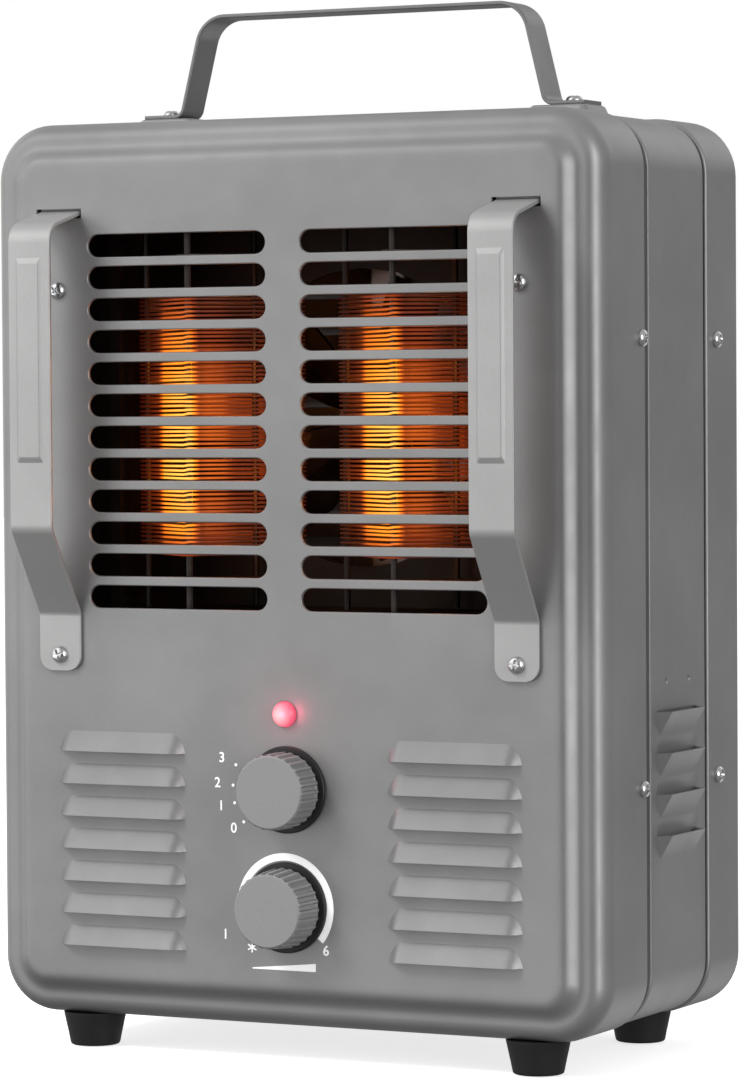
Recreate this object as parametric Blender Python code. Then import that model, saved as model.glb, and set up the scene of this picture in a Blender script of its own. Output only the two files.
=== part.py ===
"""Fan-forced utility space heater: sheet-metal case, two wound elements, fan, controls, guards and bail handle.

Drawing dimensions below are in millimetres: X to the heater's right as seen from the front, Y to the back
with the front panel's outer face at y = 0, and Z up from the floor. pt() turns them into metres and moves the
panel 51.3 mm ahead of the origin, so the origin is the bottom centre of the whole heater.
"""
import math

import bmesh
import bpy
from mathutils import Vector

for old in list(bpy.data.objects):
    bpy.data.objects.remove(old, do_unlink=True)

MM = 0.001
Y_PANEL = -0.0534

BODY_HX = 120.0          # half width of the case
BODY_Z0 = 12.2           # underside of the case
BODY_Z1 = 331.9          # top of the case
FRONT_END = 40.7         # rear edge of the front shell
REAR_START = 95.6        # front edge of the rear cover
BODY_Y1 = 125.0          # back face
SHEET = 1.2


def pt(x, y, z):
    return Vector((x * MM, y * MM + Y_PANEL, z * MM))


# ---------------------------------------------------------------- mesh helpers
def add_loft(bm, rings, loop=False):
    """Skins a row of equal rings; a loop closes end to end and an open row gets caps."""
    rows = [[bm.verts.new(pt(*p)) for p in ring] for ring in rings]
    n = len(rows[0])
    follow = rows[1:] + ([rows[0]] if loop else [])
    for a, b in zip(rows, follow):
        for i in range(n):
            j = (i + 1) % n
            bm.faces.new((a[i], a[j], b[j], b[i]))
    if not loop:
        bm.faces.new(rows[0][::-1])
        bm.faces.new(rows[-1])


def make(name, bm):
    bmesh.ops.recalc_face_normals(bm, faces=bm.faces)
    bent = []
    for f in bm.faces:
        if len(f.verts) == 4:
            a, b, c, d = (v.co for v in f.verts)
            n = (b - a).cross(c - a)
            if n.length > 0 and abs(n.normalized().dot(d - a)) > 1e-8:
                bent.append(f)
    bmesh.ops.triangulate(bm, faces=bent)
    mesh = bpy.data.meshes.new(name)
    bm.to_mesh(mesh)
    bm.free()
    ob = bpy.data.objects.new(name, mesh)
    bpy.context.scene.collection.objects.link(ob)
    return ob


def loft(name, rings, loop=False):
    bm = bmesh.new()
    add_loft(bm, rings, loop)
    return make(name, bm)


def combine(target, tool, how):
    """Applies one exact Boolean to target and removes the tool."""
    mod = target.modifiers.new("step", "BOOLEAN")
    mod.operation = how
    mod.solver = "EXACT"
    mod.object = tool
    bpy.context.view_layer.update()
    graph = bpy.context.evaluated_depsgraph_get()
    mesh = bpy.data.meshes.new_from_object(target.evaluated_get(graph))
    target.modifiers.clear()
    target.data = mesh
    bpy.data.objects.remove(tool, do_unlink=True)
    bm = bmesh.new()
    bm.from_mesh(mesh)
    bmesh.ops.remove_doubles(bm, verts=bm.verts, dist=2e-7)
    bmesh.ops.dissolve_degenerate(bm, edges=bm.edges, dist=1e-7)
    bm.to_mesh(mesh)
    bm.free()
    return target


def ring_at(axis, at, u0, v0, r, n, phase=0.0):
    """Circle across an axis. u, v are the two other axes in X, Y, Z order."""
    out = []
    for k in range(n):
        a = phase + 2.0 * math.pi * k / n
        u, v = u0 + r * math.cos(a), v0 + r * math.sin(a)
        out.append({"x": (at, u, v), "y": (u, at, v), "z": (u, v, at)}[axis])
    return out


def add_turned(bm, axis, u0, v0, profile, n=12, loop=False, phase=0.0):
    """Turned piece: profile is a list of (place along the axis, radius)."""
    add_loft(bm, [ring_at(axis, at, u0, v0, r, n, phase) for at, r in profile], loop)


def turned(name, axis, u0, v0, profile, n=12, loop=False):
    bm = bmesh.new()
    add_turned(bm, axis, u0, v0, profile, n, loop)
    return make(name, bm)


def add_box(bm, x0, x1, y0, y1, z0, z1):
    add_loft(bm, [[(x, y0, z0), (x, y1, z0), (x, y1, z1), (x, y0, z1)] for x in (x0, x1)])


def box(name, *size):
    bm = bmesh.new()
    add_box(bm, *size)
    return make(name, bm)


def rounded(x0, x1, z0, z1, r, y, seg=4):
    """Rounded rectangle across Y."""
    out = []
    for cx, cz, start in ((x1 - r, z1 - r, 0), (x0 + r, z1 - r, 90), (x0 + r, z0 + r, 180), (x1 - r, z0 + r, 270)):
        for k in range(seg + 1):
            a = math.radians(start + 90.0 * k / seg)
            out.append((cx + r * math.cos(a), y, cz + r * math.sin(a)))
    return out


def case_ring(inset, y, seg=4):
    r = max(20.0 - 0.85 * inset, 6.0)
    return rounded(-BODY_HX + inset, BODY_HX - inset, BODY_Z0 + inset, BODY_Z1 - inset, r, y, seg)


def add_capsule(bm, x0, x1, z0, z1, y0, y1, seg=4):
    """Slot cutter with full-round ends, along X and through Y."""
    r = (z1 - z0) / 2.0
    zc = (z0 + z1) / 2.0
    line = []
    for cx, start in ((x1 - r, -90), (x0 + r, 90)):
        for k in range(seg + 1):
            a = math.radians(start + 180.0 * k / seg)
            line.append((cx + r * math.cos(a), zc + r * math.sin(a)))
    add_loft(bm, [[(x, y, z) for x, z in line] for y in (y0, y1)])


def fillet_path(points, radii, seg=4):
    """Rounds the corners of an open 2-D line."""
    out = [points[0]]
    for k in range(1, len(points) - 1):
        p0, p1, p2 = (Vector(points[k - 1]), Vector(points[k]), Vector(points[k + 1]))
        a, b = (p0 - p1).normalized(), (p2 - p1).normalized()
        turn = math.pi - a.angle(b)
        r = radii[k - 1]
        if turn < 1e-4 or r <= 0:
            out.append(points[k])
            continue
        reach = r * math.tan(turn / 2.0)
        mid = (a + b).normalized()
        centre = p1 + mid * (r / math.cos(turn / 2.0))
        start, end = p1 + a * reach - centre, p1 + b * reach - centre
        a0, a1 = math.atan2(start.y, start.x), math.atan2(end.y, end.x)
        while a1 - a0 > math.pi:
            a1 -= 2 * math.pi
        while a1 - a0 < -math.pi:
            a1 += 2 * math.pi
        for i in range(seg + 1):
            t = a0 + (a1 - a0) * i / seg
            out.append((centre.x + r * math.cos(t), centre.y + r * math.sin(t)))
    out.append(points[-1])
    return out


def offset_pair(path, half):
    """The two lines half a thickness to each side of a 2-D line."""
    left, right = [], []
    for k, p in enumerate(path):
        before = Vector(path[max(k - 1, 0)])
        after = Vector(path[min(k + 1, len(path) - 1)])
        here = Vector(p)
        d1 = (here - before) if k else (after - here)
        d2 = (after - here) if k < len(path) - 1 else (here - before)
        d1.normalize()
        d2.normalize()
        t = (d1 + d2).normalized()
        n = Vector((-t.y, t.x))
        reach = half / max(t.dot(d1), 0.5)
        left.append(here + n * reach)
        right.append(here - n * reach)
    return left, right


# ---------------------------------------------------------------- hole cutters shared by case parts
SCREW_HOLE = 2.1
SIDE_SCREWS = [(s, y, z) for s in (-1, 1) for y in (37.4, 104.0) for z in (253.2, 97.7)]
FEET = [("front_left", -88.4, 18.4), ("front_right", 88.4, 18.4), ("rear_left", -88.4, 106.2), ("rear_right", 88.4, 106.2)]


def add_side_holes(bm, ys):
    for s, y, z in SIDE_SCREWS:
        if y in ys:
            add_turned(bm, "x", y, z, [(s * 112.0, SCREW_HOLE), (s * 124.0, SCREW_HOLE)], 8)


def add_foot_holes(bm, ys):
    for _, x, y in FEET:
        if y in ys:
            add_turned(bm, "z", x, y, [(9.0, SCREW_HOLE), (17.5, SCREW_HOLE)], 8)


# ---------------------------------------------------------------- front shell
OUTER = [(17.0, 0.0), (15.4, 0.3), (13.8, 1.1), (12.2, 2.2), (10.6, 3.1), (8.6, 3.7), (6.2, 4.2), (3.6, 5.6), (1.5, 7.8), (0.3, 10.4),
         (0.0, 12.5), (0.0, FRONT_END)]
INNER = [(17.0, 1.2), (14.6, 1.8), (11.6, 3.7), (8.6, 4.9), (6.4, 5.6), (4.0, 7.2), (2.2, 9.2), (1.2, 12.6), (1.2, 43.0)]
shell = loft("front_shell", [case_ring(d, y) for d, y in OUTER])
combine(shell, loft("void", [case_ring(d, y) for d, y in INNER]), "DIFFERENCE")

# Front louvres: hoods that stand out of the panel and are open downward.
LOUVRE_Z = [107.84 - 11.578 * k for k in range(7)]
LOUVRE_X = [(-91.4, -39.8), (39.8, 91.4)]


def hood_rings(x0, x1, zb, p, h, steps, fine):
    rings = []
    for x, s, hs in steps(x0, x1):
        rings.append([(x, y, zb + z) for y, z in fine(s, p, h * hs)])
    return rings


def outer_steps(x0, x1):
    ends = [(0.0, 0.0, 0.30), (2.4, 0.78, 0.72), (7.5, 1.0, 1.0)]
    return [(x0 + d, s, h) for d, s, h in ends] + [(x1 - d, s, h) for d, s, h in reversed(ends)]


def inner_steps(x0, x1):
    ends = [(1.2, 0.0, 0.34), (3.4, 0.76, 0.70), (8.2, 1.0, 1.0)]
    return [(x0 + d, s, h) for d, s, h in ends] + [(x1 - d, s, h) for d, s, h in reversed(ends)]


def hood_outer(s, p, h):
    front = 0.3 - (p + 0.3) * s
    return [(0.7, 0.0), (front, 0.0), (0.3 + (front - 0.3) * 0.90, 0.32 * h), (0.3 + (front - 0.3) * 0.50, 0.74 * h),
            (0.3, 1.06 * h), (0.7, 1.06 * h)]


def hood_inner(s, p, h):
    q = p - 0.9
    front = 0.35 - (q + 0.35) * s
    return [(2.2, -0.35), (front, -0.35), (0.35 + (front - 0.35) * 0.84, 0.32 * h), (0.35, 0.80 * h), (2.2, 0.80 * h)]


hoods, voids = bmesh.new(), bmesh.new()
for zb in LOUVRE_Z:
    for x0, x1 in LOUVRE_X:
        add_loft(hoods, hood_rings(x0, x1, zb, 3.8, 7.1, outer_steps, hood_outer))
        add_loft(voids, hood_rings(x0, x1, zb, 3.8, 7.1, inner_steps, hood_inner))
combine(shell, make("hoods", hoods), "UNION")
combine(shell, make("hood_voids", voids), "DIFFERENCE")

# Grille slots, guard slots and the round holes of the panel.
cuts = bmesh.new()
for row in range(12):
    top = 291.7 - 11.34 * row
    for x0, x1 in ((-78.4, -6.8), (6.8, 78.4)):
        add_capsule(cuts, x0, x1, top - 7.98, top, -1.0, 2.5)
GUARD_X = 90.1
PANEL_SCREWS = [(-90.8, 272.1), (90.8, 272.1)]
GUARD_SCREWS = [(-GUARD_X, 142.1), (GUARD_X, 142.1)]
for s in (-1, 1):
    add_box(cuts, s * GUARD_X - 9.2, s * GUARD_X + 9.2, -1.0, 2.5, 297.6, 301.3)
for x, z in PANEL_SCREWS + GUARD_SCREWS:
    add_turned(cuts, "y", x, z, [(-1.0, 2.0), (2.5, 2.0)], 8)
for x, z in ((0.7, 96.5), (0.0, 55.2)):
    add_turned(cuts, "y", x, z, [(-1.0, 4.2), (2.5, 4.2)], 12)
add_turned(cuts, "y", 0.0, 122.9, [(-1.0, 4.8), (2.5, 4.8)], 14)
add_side_holes(cuts, (37.4,))
add_foot_holes(cuts, (18.4,))
combine(shell, make("panel_cuts", cuts), "DIFFERENCE")

# ---------------------------------------------------------------- middle wrap
SEAT_Z = 335.8           # top of the raised seats under the handle
W_OUT = [(1.5, 33.0), (1.5, 41.3), (3.3, 42.0), (3.3, 43.3), (2.5, 44.3), (1.3, 45.5), (0.8, 47.0), (0.8, 94.4), (1.5, 95.2), (1.5, 111.0)]
W_IN = [(2.5, 111.0), (2.5, 95.8), (1.8, 93.8), (1.8, 47.4), (2.5, 46.2), (4.3, 44.3), (4.3, 41.0), (2.5, 40.6), (2.5, 33.0)]
wrap = loft("middle_wrap", [case_ring(d, y) for d, y in W_OUT + W_IN], loop=True)

seats, seat_voids = bmesh.new(), bmesh.new()
for s in (-1, 1):
    c = s * 79.0
    add_loft(seats, [[(c - a, 67.5 - b, z), (c + a, 67.5 - b, z), (c + a, 67.5 + b, z), (c - a, 67.5 + b, z)]
                     for z, a, b in ((330.6, 12.6, 11.6), (SEAT_Z, 10.4, 9.4))])
    add_loft(seat_voids, [[(c - a, 67.5 - b, z), (c + a, 67.5 - b, z), (c + a, 67.5 + b, z), (c - a, 67.5 + b, z)]
                          for z, a, b in ((329.4, 12.0, 11.0), (SEAT_Z - 1.1, 9.8, 8.8))])
combine(wrap, make("seats", seats), "UNION")

# Side scoops: slanted plates, open upward.
scoops, scoop_voids = bmesh.new(), bmesh.new()
face = BODY_HX - 0.8
for k in range(4):
    zt = 123.4 - 14.4 * k
    for s in (-1, 1):
        rings = []
        for y, out in ((50.0, 0.0), (54.5, 4.6), (83.0, 4.6), (87.5, 0.0)):
            f = out / 4.6
            low = zt - 0.5 - 8.1 * f
            rings.append([(s * (face - 0.6), y, low), (s * (face - 0.25), y, low), (s * (face - 0.25 + (out + 0.25) * 1.0), y, zt),
                          (s * (face - 0.6), y, zt)])
        add_loft(scoops, rings)
        rings = []
        for y, out in ((51.4, 0.0), (55.6, 3.7), (81.9, 3.7), (86.1, 0.0)):
            f = out / 3.7
            low = zt - 0.3 - 6.9 * f
            rings.append([(s * (face - 3.0), y, low), (s * (face - 0.35), y, low), (s * (face - 0.35 + (out + 0.35)), y, zt + 0.35),
                          (s * (face - 3.0), y, zt + 0.35)])
        add_loft(scoop_voids, rings)
combine(wrap, make("scoops", scoops), "UNION")
combine(wrap, make("scoop_voids", scoop_voids), "DIFFERENCE")
combine(wrap, make("seat_voids", seat_voids), "DIFFERENCE")

cuts = bmesh.new()
add_side_holes(cuts, (37.4, 104.0))
add_foot_holes(cuts, (106.2,))
HANDLE_SCREWS = [(-81.5, 67.5), (81.5, 67.5)]
for x, y in HANDLE_SCREWS:
    add_turned(cuts, "z", x, y, [(331.5, 2.1), (338.0, 2.1)], 8)
for y in (59.0, 79.0):
    add_turned(cuts, "x", y, 133.5, [(118.75, 1.2), (121.0, 1.2)], 8)
combine(wrap, make("wrap_cuts", cuts), "DIFFERENCE")

# ---------------------------------------------------------------- rear cover
R_OUT = [(0.0, REAR_START), (0.0, 122.2), (0.35, 123.6), (1.3, 124.6), (2.8, BODY_Y1)]
R_IN = [(1.2, 94.0), (1.2, 122.0), (1.5, 123.0), (2.2, 123.6), (3.2, 123.8)]
cover = loft("rear_cover", [case_ring(d, y) for d, y in R_OUT])
combine(cover, loft("void", [case_ring(d, y) for d, y in R_IN]), "DIFFERENCE")
FAN_Z = 226.0
CORD_X, CORD_Z = -74.0, 44.0


def rear_hood(s, p, h):
    back = BODY_Y1 - 0.3 + (p + 0.3) * s
    return [(BODY_Y1 - 0.7, 0.0), (back, 0.0), (BODY_Y1 - 0.3 + (back - BODY_Y1 + 0.3) * 0.88, 0.40 * h), (BODY_Y1 - 0.3, 1.06 * h), (BODY_Y1 - 0.7, 1.06 * h)]


def rear_void(s, p, h):
    back = BODY_Y1 - 0.35 + (p - 0.55) * s
    return [(BODY_Y1 - 2.4, -0.35), (back, -0.35), (BODY_Y1 - 0.35 + (back - BODY_Y1 + 0.35) * 0.84, 0.36 * h), (BODY_Y1 - 0.35, 0.80 * h), (BODY_Y1 - 2.4, 0.80 * h)]


REAR_LOUVRE_Z = [269.5 - 13.6 * k for k in range(9)]
hoods, voids = bmesh.new(), bmesh.new()
for zb in REAR_LOUVRE_Z:
    for x0, x1 in ((-78.0, -5.0), (5.0, 78.0)):
        add_loft(hoods, hood_rings(x0, x1, zb, 3.4, 8.0, outer_steps, rear_hood))
        add_loft(voids, hood_rings(x0, x1, zb, 3.4, 8.0, inner_steps, rear_void))
combine(cover, make("rear_hoods", hoods), "UNION")
combine(cover, make("rear_voids", voids), "DIFFERENCE")
cuts = bmesh.new()
for x in (-40.0, -20.0, 0.0, 20.0, 40.0):
    for z in (92.0,):
        add_capsule(cuts, x - 8.0, x + 8.0, z - 2.5, z + 2.5, 122.0, 127.0, 3)
add_turned(cuts, "y", CORD_X, CORD_Z, [(122.0, 7.2), (127.0, 7.2)], 12)
add_side_holes(cuts, (104.0,))
add_foot_holes(cuts, (106.2,))
combine(cover, make("rear_cuts", cuts), "DIFFERENCE")

gland = turned("cord_gland", "y", CORD_X, CORD_Z,
               [(116.2, 9.6), (123.5, 9.6), (123.5, 6.9), (125.3, 6.9), (125.3, 9.2), (127.4, 9.0), (128.6, 7.2), (128.6, 3.8), (116.2, 3.8)], 14, loop=True)

# ---------------------------------------------------------------- front guards
for side, s in (("left", -1), ("right", 1)):
    line = fillet_path([(2.4, 306.4), (2.4, 299.9), (-20.3, 293.9), (-20.3, 187.4), (-0.85, 156.8), (-0.85, 136.4)], [1.6, 7.0, 6.0, 4.0], 4)
    near, far = offset_pair(line, 0.7)
    hw = 8.45
    rings = []
    for k in range(len(line)):
        rings.append([(s * GUARD_X - hw, near[k].x, near[k].y), (s * GUARD_X + hw, near[k].x, near[k].y),
                      (s * GUARD_X + hw, far[k].x, far[k].y), (s * GUARD_X - hw, far[k].x, far[k].y)])
    last = rings.pop()
    for drop, cut in ((5.0, 0.0), (3.0, 0.45), (1.4, 1.5), (0.4, 3.0), (0.0, 4.9)):
        rings.append([(x + (cut if x < s * GUARD_X else -cut), y, z + drop) for x, y, z in last])
    strap = loft("guard_" + side, rings)
    pad = []
    for y, across, along in ((-20.6, 5.2, 36.1), (-21.0, 5.2, 36.1), (-21.8, 3.7, 34.2)):
        pad.append(rounded(s * GUARD_X - across, s * GUARD_X + across, 247.1 - along, 247.1 + along, 0.5, y, 1))
    combine(strap, loft("pad", pad), "UNION")
    hole = turned("hole", "y", s * GUARD_X, 142.1, [(-3.0, 2.0), (1.0, 2.0)], 8)
    combine(strap, hole, "DIFFERENCE")

# ---------------------------------------------------------------- bail handle
half = fillet_path([(-88.6, 336.6), (-73.3, 336.6), (-64.3, 372.6), (0.0, 372.6)], [3.6, 11.4], 4)
line = half[:-1] + [(-x, z) for x, z in reversed(half[:-1])]
upper, under = offset_pair(line, 0.7)
rings = []
for k in range(len(line)):
    rings.append([(upper[k].x, 60.0, upper[k].y), (upper[k].x, 75.0, upper[k].y), (under[k].x, 75.0, under[k].y), (under[k].x, 60.0, under[k].y)])
bail = loft("handle", rings)
cuts = bmesh.new()
for x, y in HANDLE_SCREWS:
    add_turned(cuts, "z", x, y, [(334.0, 2.1), (339.0, 2.1)], 8)
combine(bail, make("handle_cuts", cuts), "DIFFERENCE")

# ---------------------------------------------------------------- feet
for name, x, y in FEET:
    turned("foot_" + name, "z", x, y, [(0.0, 8.6), (0.7, 9.1), (11.0, 11.3), (12.1, 11.3), (12.1, 2.3), (6.0, 2.3), (6.0, 5.0), (0.0, 5.0)], 16, loop=True)


# ---------------------------------------------------------------- screws
def screw(name, axis, sign, u0, v0, seat, length, head=3.1, high=2.0):
    """Pan-head screw: seat is the surface under the head, sign is the way the head faces."""
    prof = [(seat - sign * length, 1.5), (seat + sign * 0.08, 1.5), (seat + sign * 0.08, head), (seat + sign * 0.9, head * 0.97),
            (seat + sign * high, head * 0.58)]
    return turned(name, axis, u0, v0, prof, 8)


for s, y, z in SIDE_SCREWS:
    name = "screw_side_%s_%s_%s" % ("right" if s > 0 else "left", "front" if y < 60 else "rear", "upper" if z > 150 else "lower")
    screw(name, "x", s, y, z, s * BODY_HX, 7.0)
for x, z in PANEL_SCREWS:
    screw("screw_panel_" + ("right" if x > 0 else "left"), "y", -1, x, z, 0.0, 8.0)
for x, z in GUARD_SCREWS:
    screw("screw_guard_" + ("right" if x > 0 else "left"), "y", -1, x, z, -1.56, 8.0)
for x, y in HANDLE_SCREWS:
    screw("screw_handle_" + ("right" if x > 0 else "left"), "z", 1, x, y, 337.3, 9.0)
for name, x, y in FEET:
    screw("screw_foot_" + name, "z", -1, x, y, 6.0, 13.0, 4.0, 2.4)


# ---------------------------------------------------------------- knobs, shafts and the controls behind them
SELECTOR = (0.7, 96.5)
THERMOSTAT = (0.0, 55.2)


def knob(name, at, back, front, base):
    teeth = 26
    rings = []
    for y, ro in ((back, base), (front + 1.3, 13.2), (front + 0.7, 12.9), (front, 12.4)):
        ri = ro if y == front else ro - 0.65
        ring = []
        for k in range(2 * teeth):
            a = math.pi * (k + 0.5) / teeth
            r = ro if k % 2 == 0 else ri
            ring.append((at[0] + r * math.cos(a), y, at[1] + r * math.sin(a)))
        rings.append(ring)
    ob = loft(name, rings)
    return combine(ob, turned("bore", "y", at[0], at[1], [(2.0, 3.06), (-9.8, 3.06)], 12), "DIFFERENCE")


knob("selector_knob", SELECTOR, -1.9, -14.3, 13.4)
knob("thermostat_knob", THERMOSTAT, -1.9, -14.9, 14.0)
turned("selector_skirt", "y", SELECTOR[0], SELECTOR[1], [(-0.35, 15.3), (-1.2, 15.3), (-1.6, 14.9), (-1.6, 5.0), (-0.35, 5.0)], 24, loop=True)
turned("thermostat_skirt", "y", THERMOSTAT[0], THERMOSTAT[1], [(-0.35, 16.0), (-1.0, 16.0), (-1.5, 15.4), (-1.5, 5.0), (-0.35, 5.0)], 24, loop=True)
turned("selector_shaft", "y", SELECTOR[0], SELECTOR[1], [(-9.4, 3.0), (14.0, 3.0)], 12)
turned("thermostat_shaft", "y", THERMOSTAT[0], THERMOSTAT[1], [(-9.4, 3.0), (14.0, 3.0)], 12)


def control(name, size, cuts):
    ob = box(name, *size)
    tool = bmesh.new()
    for y0, y1, at, r in cuts:
        add_turned(tool, "y", at[0], at[1], [(y0, r), (y1, r)], 16)
    return combine(ob, make("bore", tool), "DIFFERENCE")


control("selector_switch", (-14.3, 15.7, 1.5, 27.0, 82.5, 110.5), [(-2.0, 14.6, SELECTOR, 3.3)])
control("thermostat_body", (-17.0, 17.0, 1.5, 24.0, 41.0, 69.0), [(-2.0, 14.6, THERMOSTAT, 3.3)])
lens = turned("indicator_lens", "y", 0.0, 122.9, [(8.0, 4.45), (2.4, 4.45), (2.4, 6.2), (1.4, 6.2), (1.4, 4.45), (-0.9, 4.45), (-2.1, 3.8), (-2.9, 2.5), (-3.3, 1.0)], 14)
combine(lens, turned("void", "y", 0.0, 122.9, [(9.0, 3.4), (-0.6, 3.4), (-1.6, 2.6), (-2.1, 1.2)], 14), "DIFFERENCE")
turned("indicator_lamp", "y", 0.0, 122.9, [(0.6, 0.9), (1.2, 2.0), (2.4, 2.5), (11.0, 2.5), (12.4, 1.6)], 10)

# ---------------------------------------------------------------- heating chamber
EL_Y = 30.0
duct = bmesh.new()
D_OUT = [(81.0, 24.0), (81.0, 62.4)]
D_IN = [(80.0, 61.4), (80.0, 24.0)]


def duct_ring(hx, y, grow=0.0):
    return rounded(-hx - grow, hx + grow, 156.6 + (81.0 - hx) - grow, 295.4 - (81.0 - hx) + grow, 4.0 + grow, y, 2)


chamber = loft("heater_duct", [duct_ring(81.0, 24.9, 3.0), duct_ring(81.0, 25.9, 3.0), duct_ring(81.0, 25.9, 0.0), duct_ring(81.0, 62.4, 0.0)])
combine(chamber, loft("void", [duct_ring(80.0, 22.0, 0.0), duct_ring(80.0, 61.4, 0.0)]), "DIFFERENCE")
combine(chamber, turned("hole", "y", 0.0, FAN_Z, [(60.0, 54.0), (64.0, 54.0)], 24), "DIFFERENCE")

plate = loft("fan_plate", [rounded(-117.2, 117.2, 149.0, 329.1, 19.0, y, 4) for y in (63.0, 64.2)])
cuts = bmesh.new()
add_turned(cuts, "y", 0.0, FAN_Z, [(60.0, 55.0), (67.0, 55.0)], 24)
combine(plate, make("plate_cuts", cuts), "DIFFERENCE")

POSTS = ((-31.0, 30.0), (31.0, 30.0), (0.0, 5.2), (0.0, 54.8))
for side, cx in (("left", -40.5), ("right", 40.5)):
    outline = [(-34.6, 28.0), (-34.6, 32.0), (-2.6, 58.0), (2.6, 58.0), (34.6, 32.0), (34.6, 28.0), (2.6, 2.2), (-2.6, 2.2)]
    frame = loft("element_frame_" + side, [[(cx + x, y, z) for x, y in outline] for z in (167.0, 168.6)])
    top = loft("top", [[(cx + x, y, z) for x, y in outline] for z in (282.6, 284.2)])
    combine(frame, top, "UNION")
    rods = bmesh.new()
    for x, y in POSTS:
        add_turned(rods, "z", cx + x, y, [(158.2, 1.2), (293.8, 1.2)], 8)
    combine(frame, make("rods", rods), "UNION")

    corners = [(-32.95, 1.1), (-32.95, -1.1), (-1.1, -26.75), (1.1, -26.75), (32.95, -1.1), (32.95, 1.1), (1.1, 26.75), (-1.1, 26.75)]
    turns, z0, z1 = 18, 177.5, 271.0
    total = turns * 8
    path = [Vector((cx + corners[k % 8][0], EL_Y + corners[k % 8][1], z0 + (z1 - z0) * k / total)) for k in range(total + 1)]
    rings = []
    for k, p in enumerate(path):
        a = path[max(k - 1, 0)]
        b = path[min(k + 1, total)]
        d1 = (p - a).normalized() if k else (b - p).normalized()
        d2 = (b - p).normalized() if k < total else d1
        t = (d1 + d2).normalized()
        out = t.cross(Vector((0, 0, 1))).normalized()
        up = out.cross(t).normalized()
        grow = 1.0 / max(t.dot(d1), 0.6)
        rings.append([tuple(p + out * 0.5 * grow), tuple(p + up * 0.5), tuple(p - out * 0.5 * grow), tuple(p - up * 0.5)])
    loft("heating_coil_" + side, rings)

turned("thermal_cutout", "z", 0.0, 40.0, [(295.8, 8.5), (298.6, 8.5), (298.6, 6.2), (304.2, 6.2), (305.0, 5.4)], 14)

# ---------------------------------------------------------------- fan and motor
hub = turned("impeller", "y", 0.0, FAN_Z, [(67.0, 8.5), (68.5, 10.5), (80.5, 10.5), (81.5, 9.8)], 20)
blades = bmesh.new()
for k in range(5):
    spin = 2 * math.pi * k / 5
    rings = []
    for r, chord, lean in ((9.4, 13.0, 42.0), (22.0, 25.0, 34.0), (38.0, 31.0, 27.0), (50.5, 29.0, 23.0)):
        c, t = math.radians(lean), 0.6
        sect = []
        for u, v in ((-chord / 2, -t), (0.0, -t - 1.2), (chord / 2, -t), (chord / 2, t), (0.0, t - 1.2), (-chord / 2, t)):
            along = u * math.cos(c) - v * math.sin(c)
            deep = u * math.sin(c) + v * math.cos(c)
            x = r * math.cos(spin) - along * math.sin(spin)
            z = r * math.sin(spin) + along * math.cos(spin)
            sect.append((x, 74.4 + deep, FAN_Z + z))
        rings.append(sect)
    add_loft(blades, rings)
combine(hub, make("blades", blades), "UNION")
combine(hub, turned("bore", "y", 0.0, FAN_Z, [(60.0, 1.66), (90.0, 1.66)], 12), "DIFFERENCE")
turned("fan_shaft", "y", 0.0, FAN_Z, [(66.0, 1.6), (111.0, 1.6)], 12)
turned("motor_rotor", "y", 0.0, FAN_Z, [(91.2, 11.0), (101.8, 11.0), (101.8, 1.66), (91.2, 1.66)], 20, loop=True)

stator = box("motor_stator", -24.0, 31.0, 90.4, 102.6, FAN_Z - 22.0, FAN_Z + 22.0)
combine(stator, turned("bore", "y", 0.0, FAN_Z, [(85.0, 11.6), (110.0, 11.6)], 20), "DIFFERENCE")
combine(stator, box("window", 16.0, 25.5, 85.0, 110.0, FAN_Z - 16.0, FAN_Z + 16.0), "DIFFERENCE")
loft("motor_winding", [[(x, y, FAN_Z + z) for x, y in ring] for z, ring in (
    (-14.5, ((16.4, 86.6), (35.0, 86.6), (35.0, 106.4), (16.4, 106.4))), (14.5, ((16.4, 86.6), (35.0, 86.6), (35.0, 106.4), (16.4, 106.4))),
    (14.5, ((25.2, 90.1), (31.3, 90.1), (31.3, 102.9), (25.2, 102.9))), (-14.5, ((25.2, 90.1), (31.3, 90.1), (31.3, 102.9), (25.2, 102.9))))], loop=True)

strap_line = fillet_path([(64.6, 164.0), (85.6, 164.0), (85.6, 288.0), (64.6, 288.0)], [3.0, 3.0], 2)
near, far = offset_pair(strap_line, 0.8)
mount = loft("motor_mount", [[(-8.0, near[k].x, near[k].y), (8.0, near[k].x, near[k].y), (8.0, far[k].x, far[k].y), (-8.0, far[k].x, far[k].y)]
                             for k in range(len(strap_line))])
combine(mount, turned("boss", "y", 0.0, FAN_Z, [(83.4, 5.0), (89.6, 5.0)], 14), "UNION")
combine(mount, turned("bore", "y", 0.0, FAN_Z, [(80.0, 1.66), (92.0, 1.66)], 12), "DIFFERENCE")
back = box("motor_rear_bracket", -23.0, 15.0, 103.4, 104.8, FAN_Z - 8.0, FAN_Z + 8.0)
combine(back, turned("boss", "y", 0.0, FAN_Z, [(103.0, 5.0), (109.6, 5.0)], 14), "UNION")
combine(back, turned("bore", "y", 0.0, FAN_Z, [(100.0, 1.66), (112.0, 1.66)], 12), "DIFFERENCE")

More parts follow.
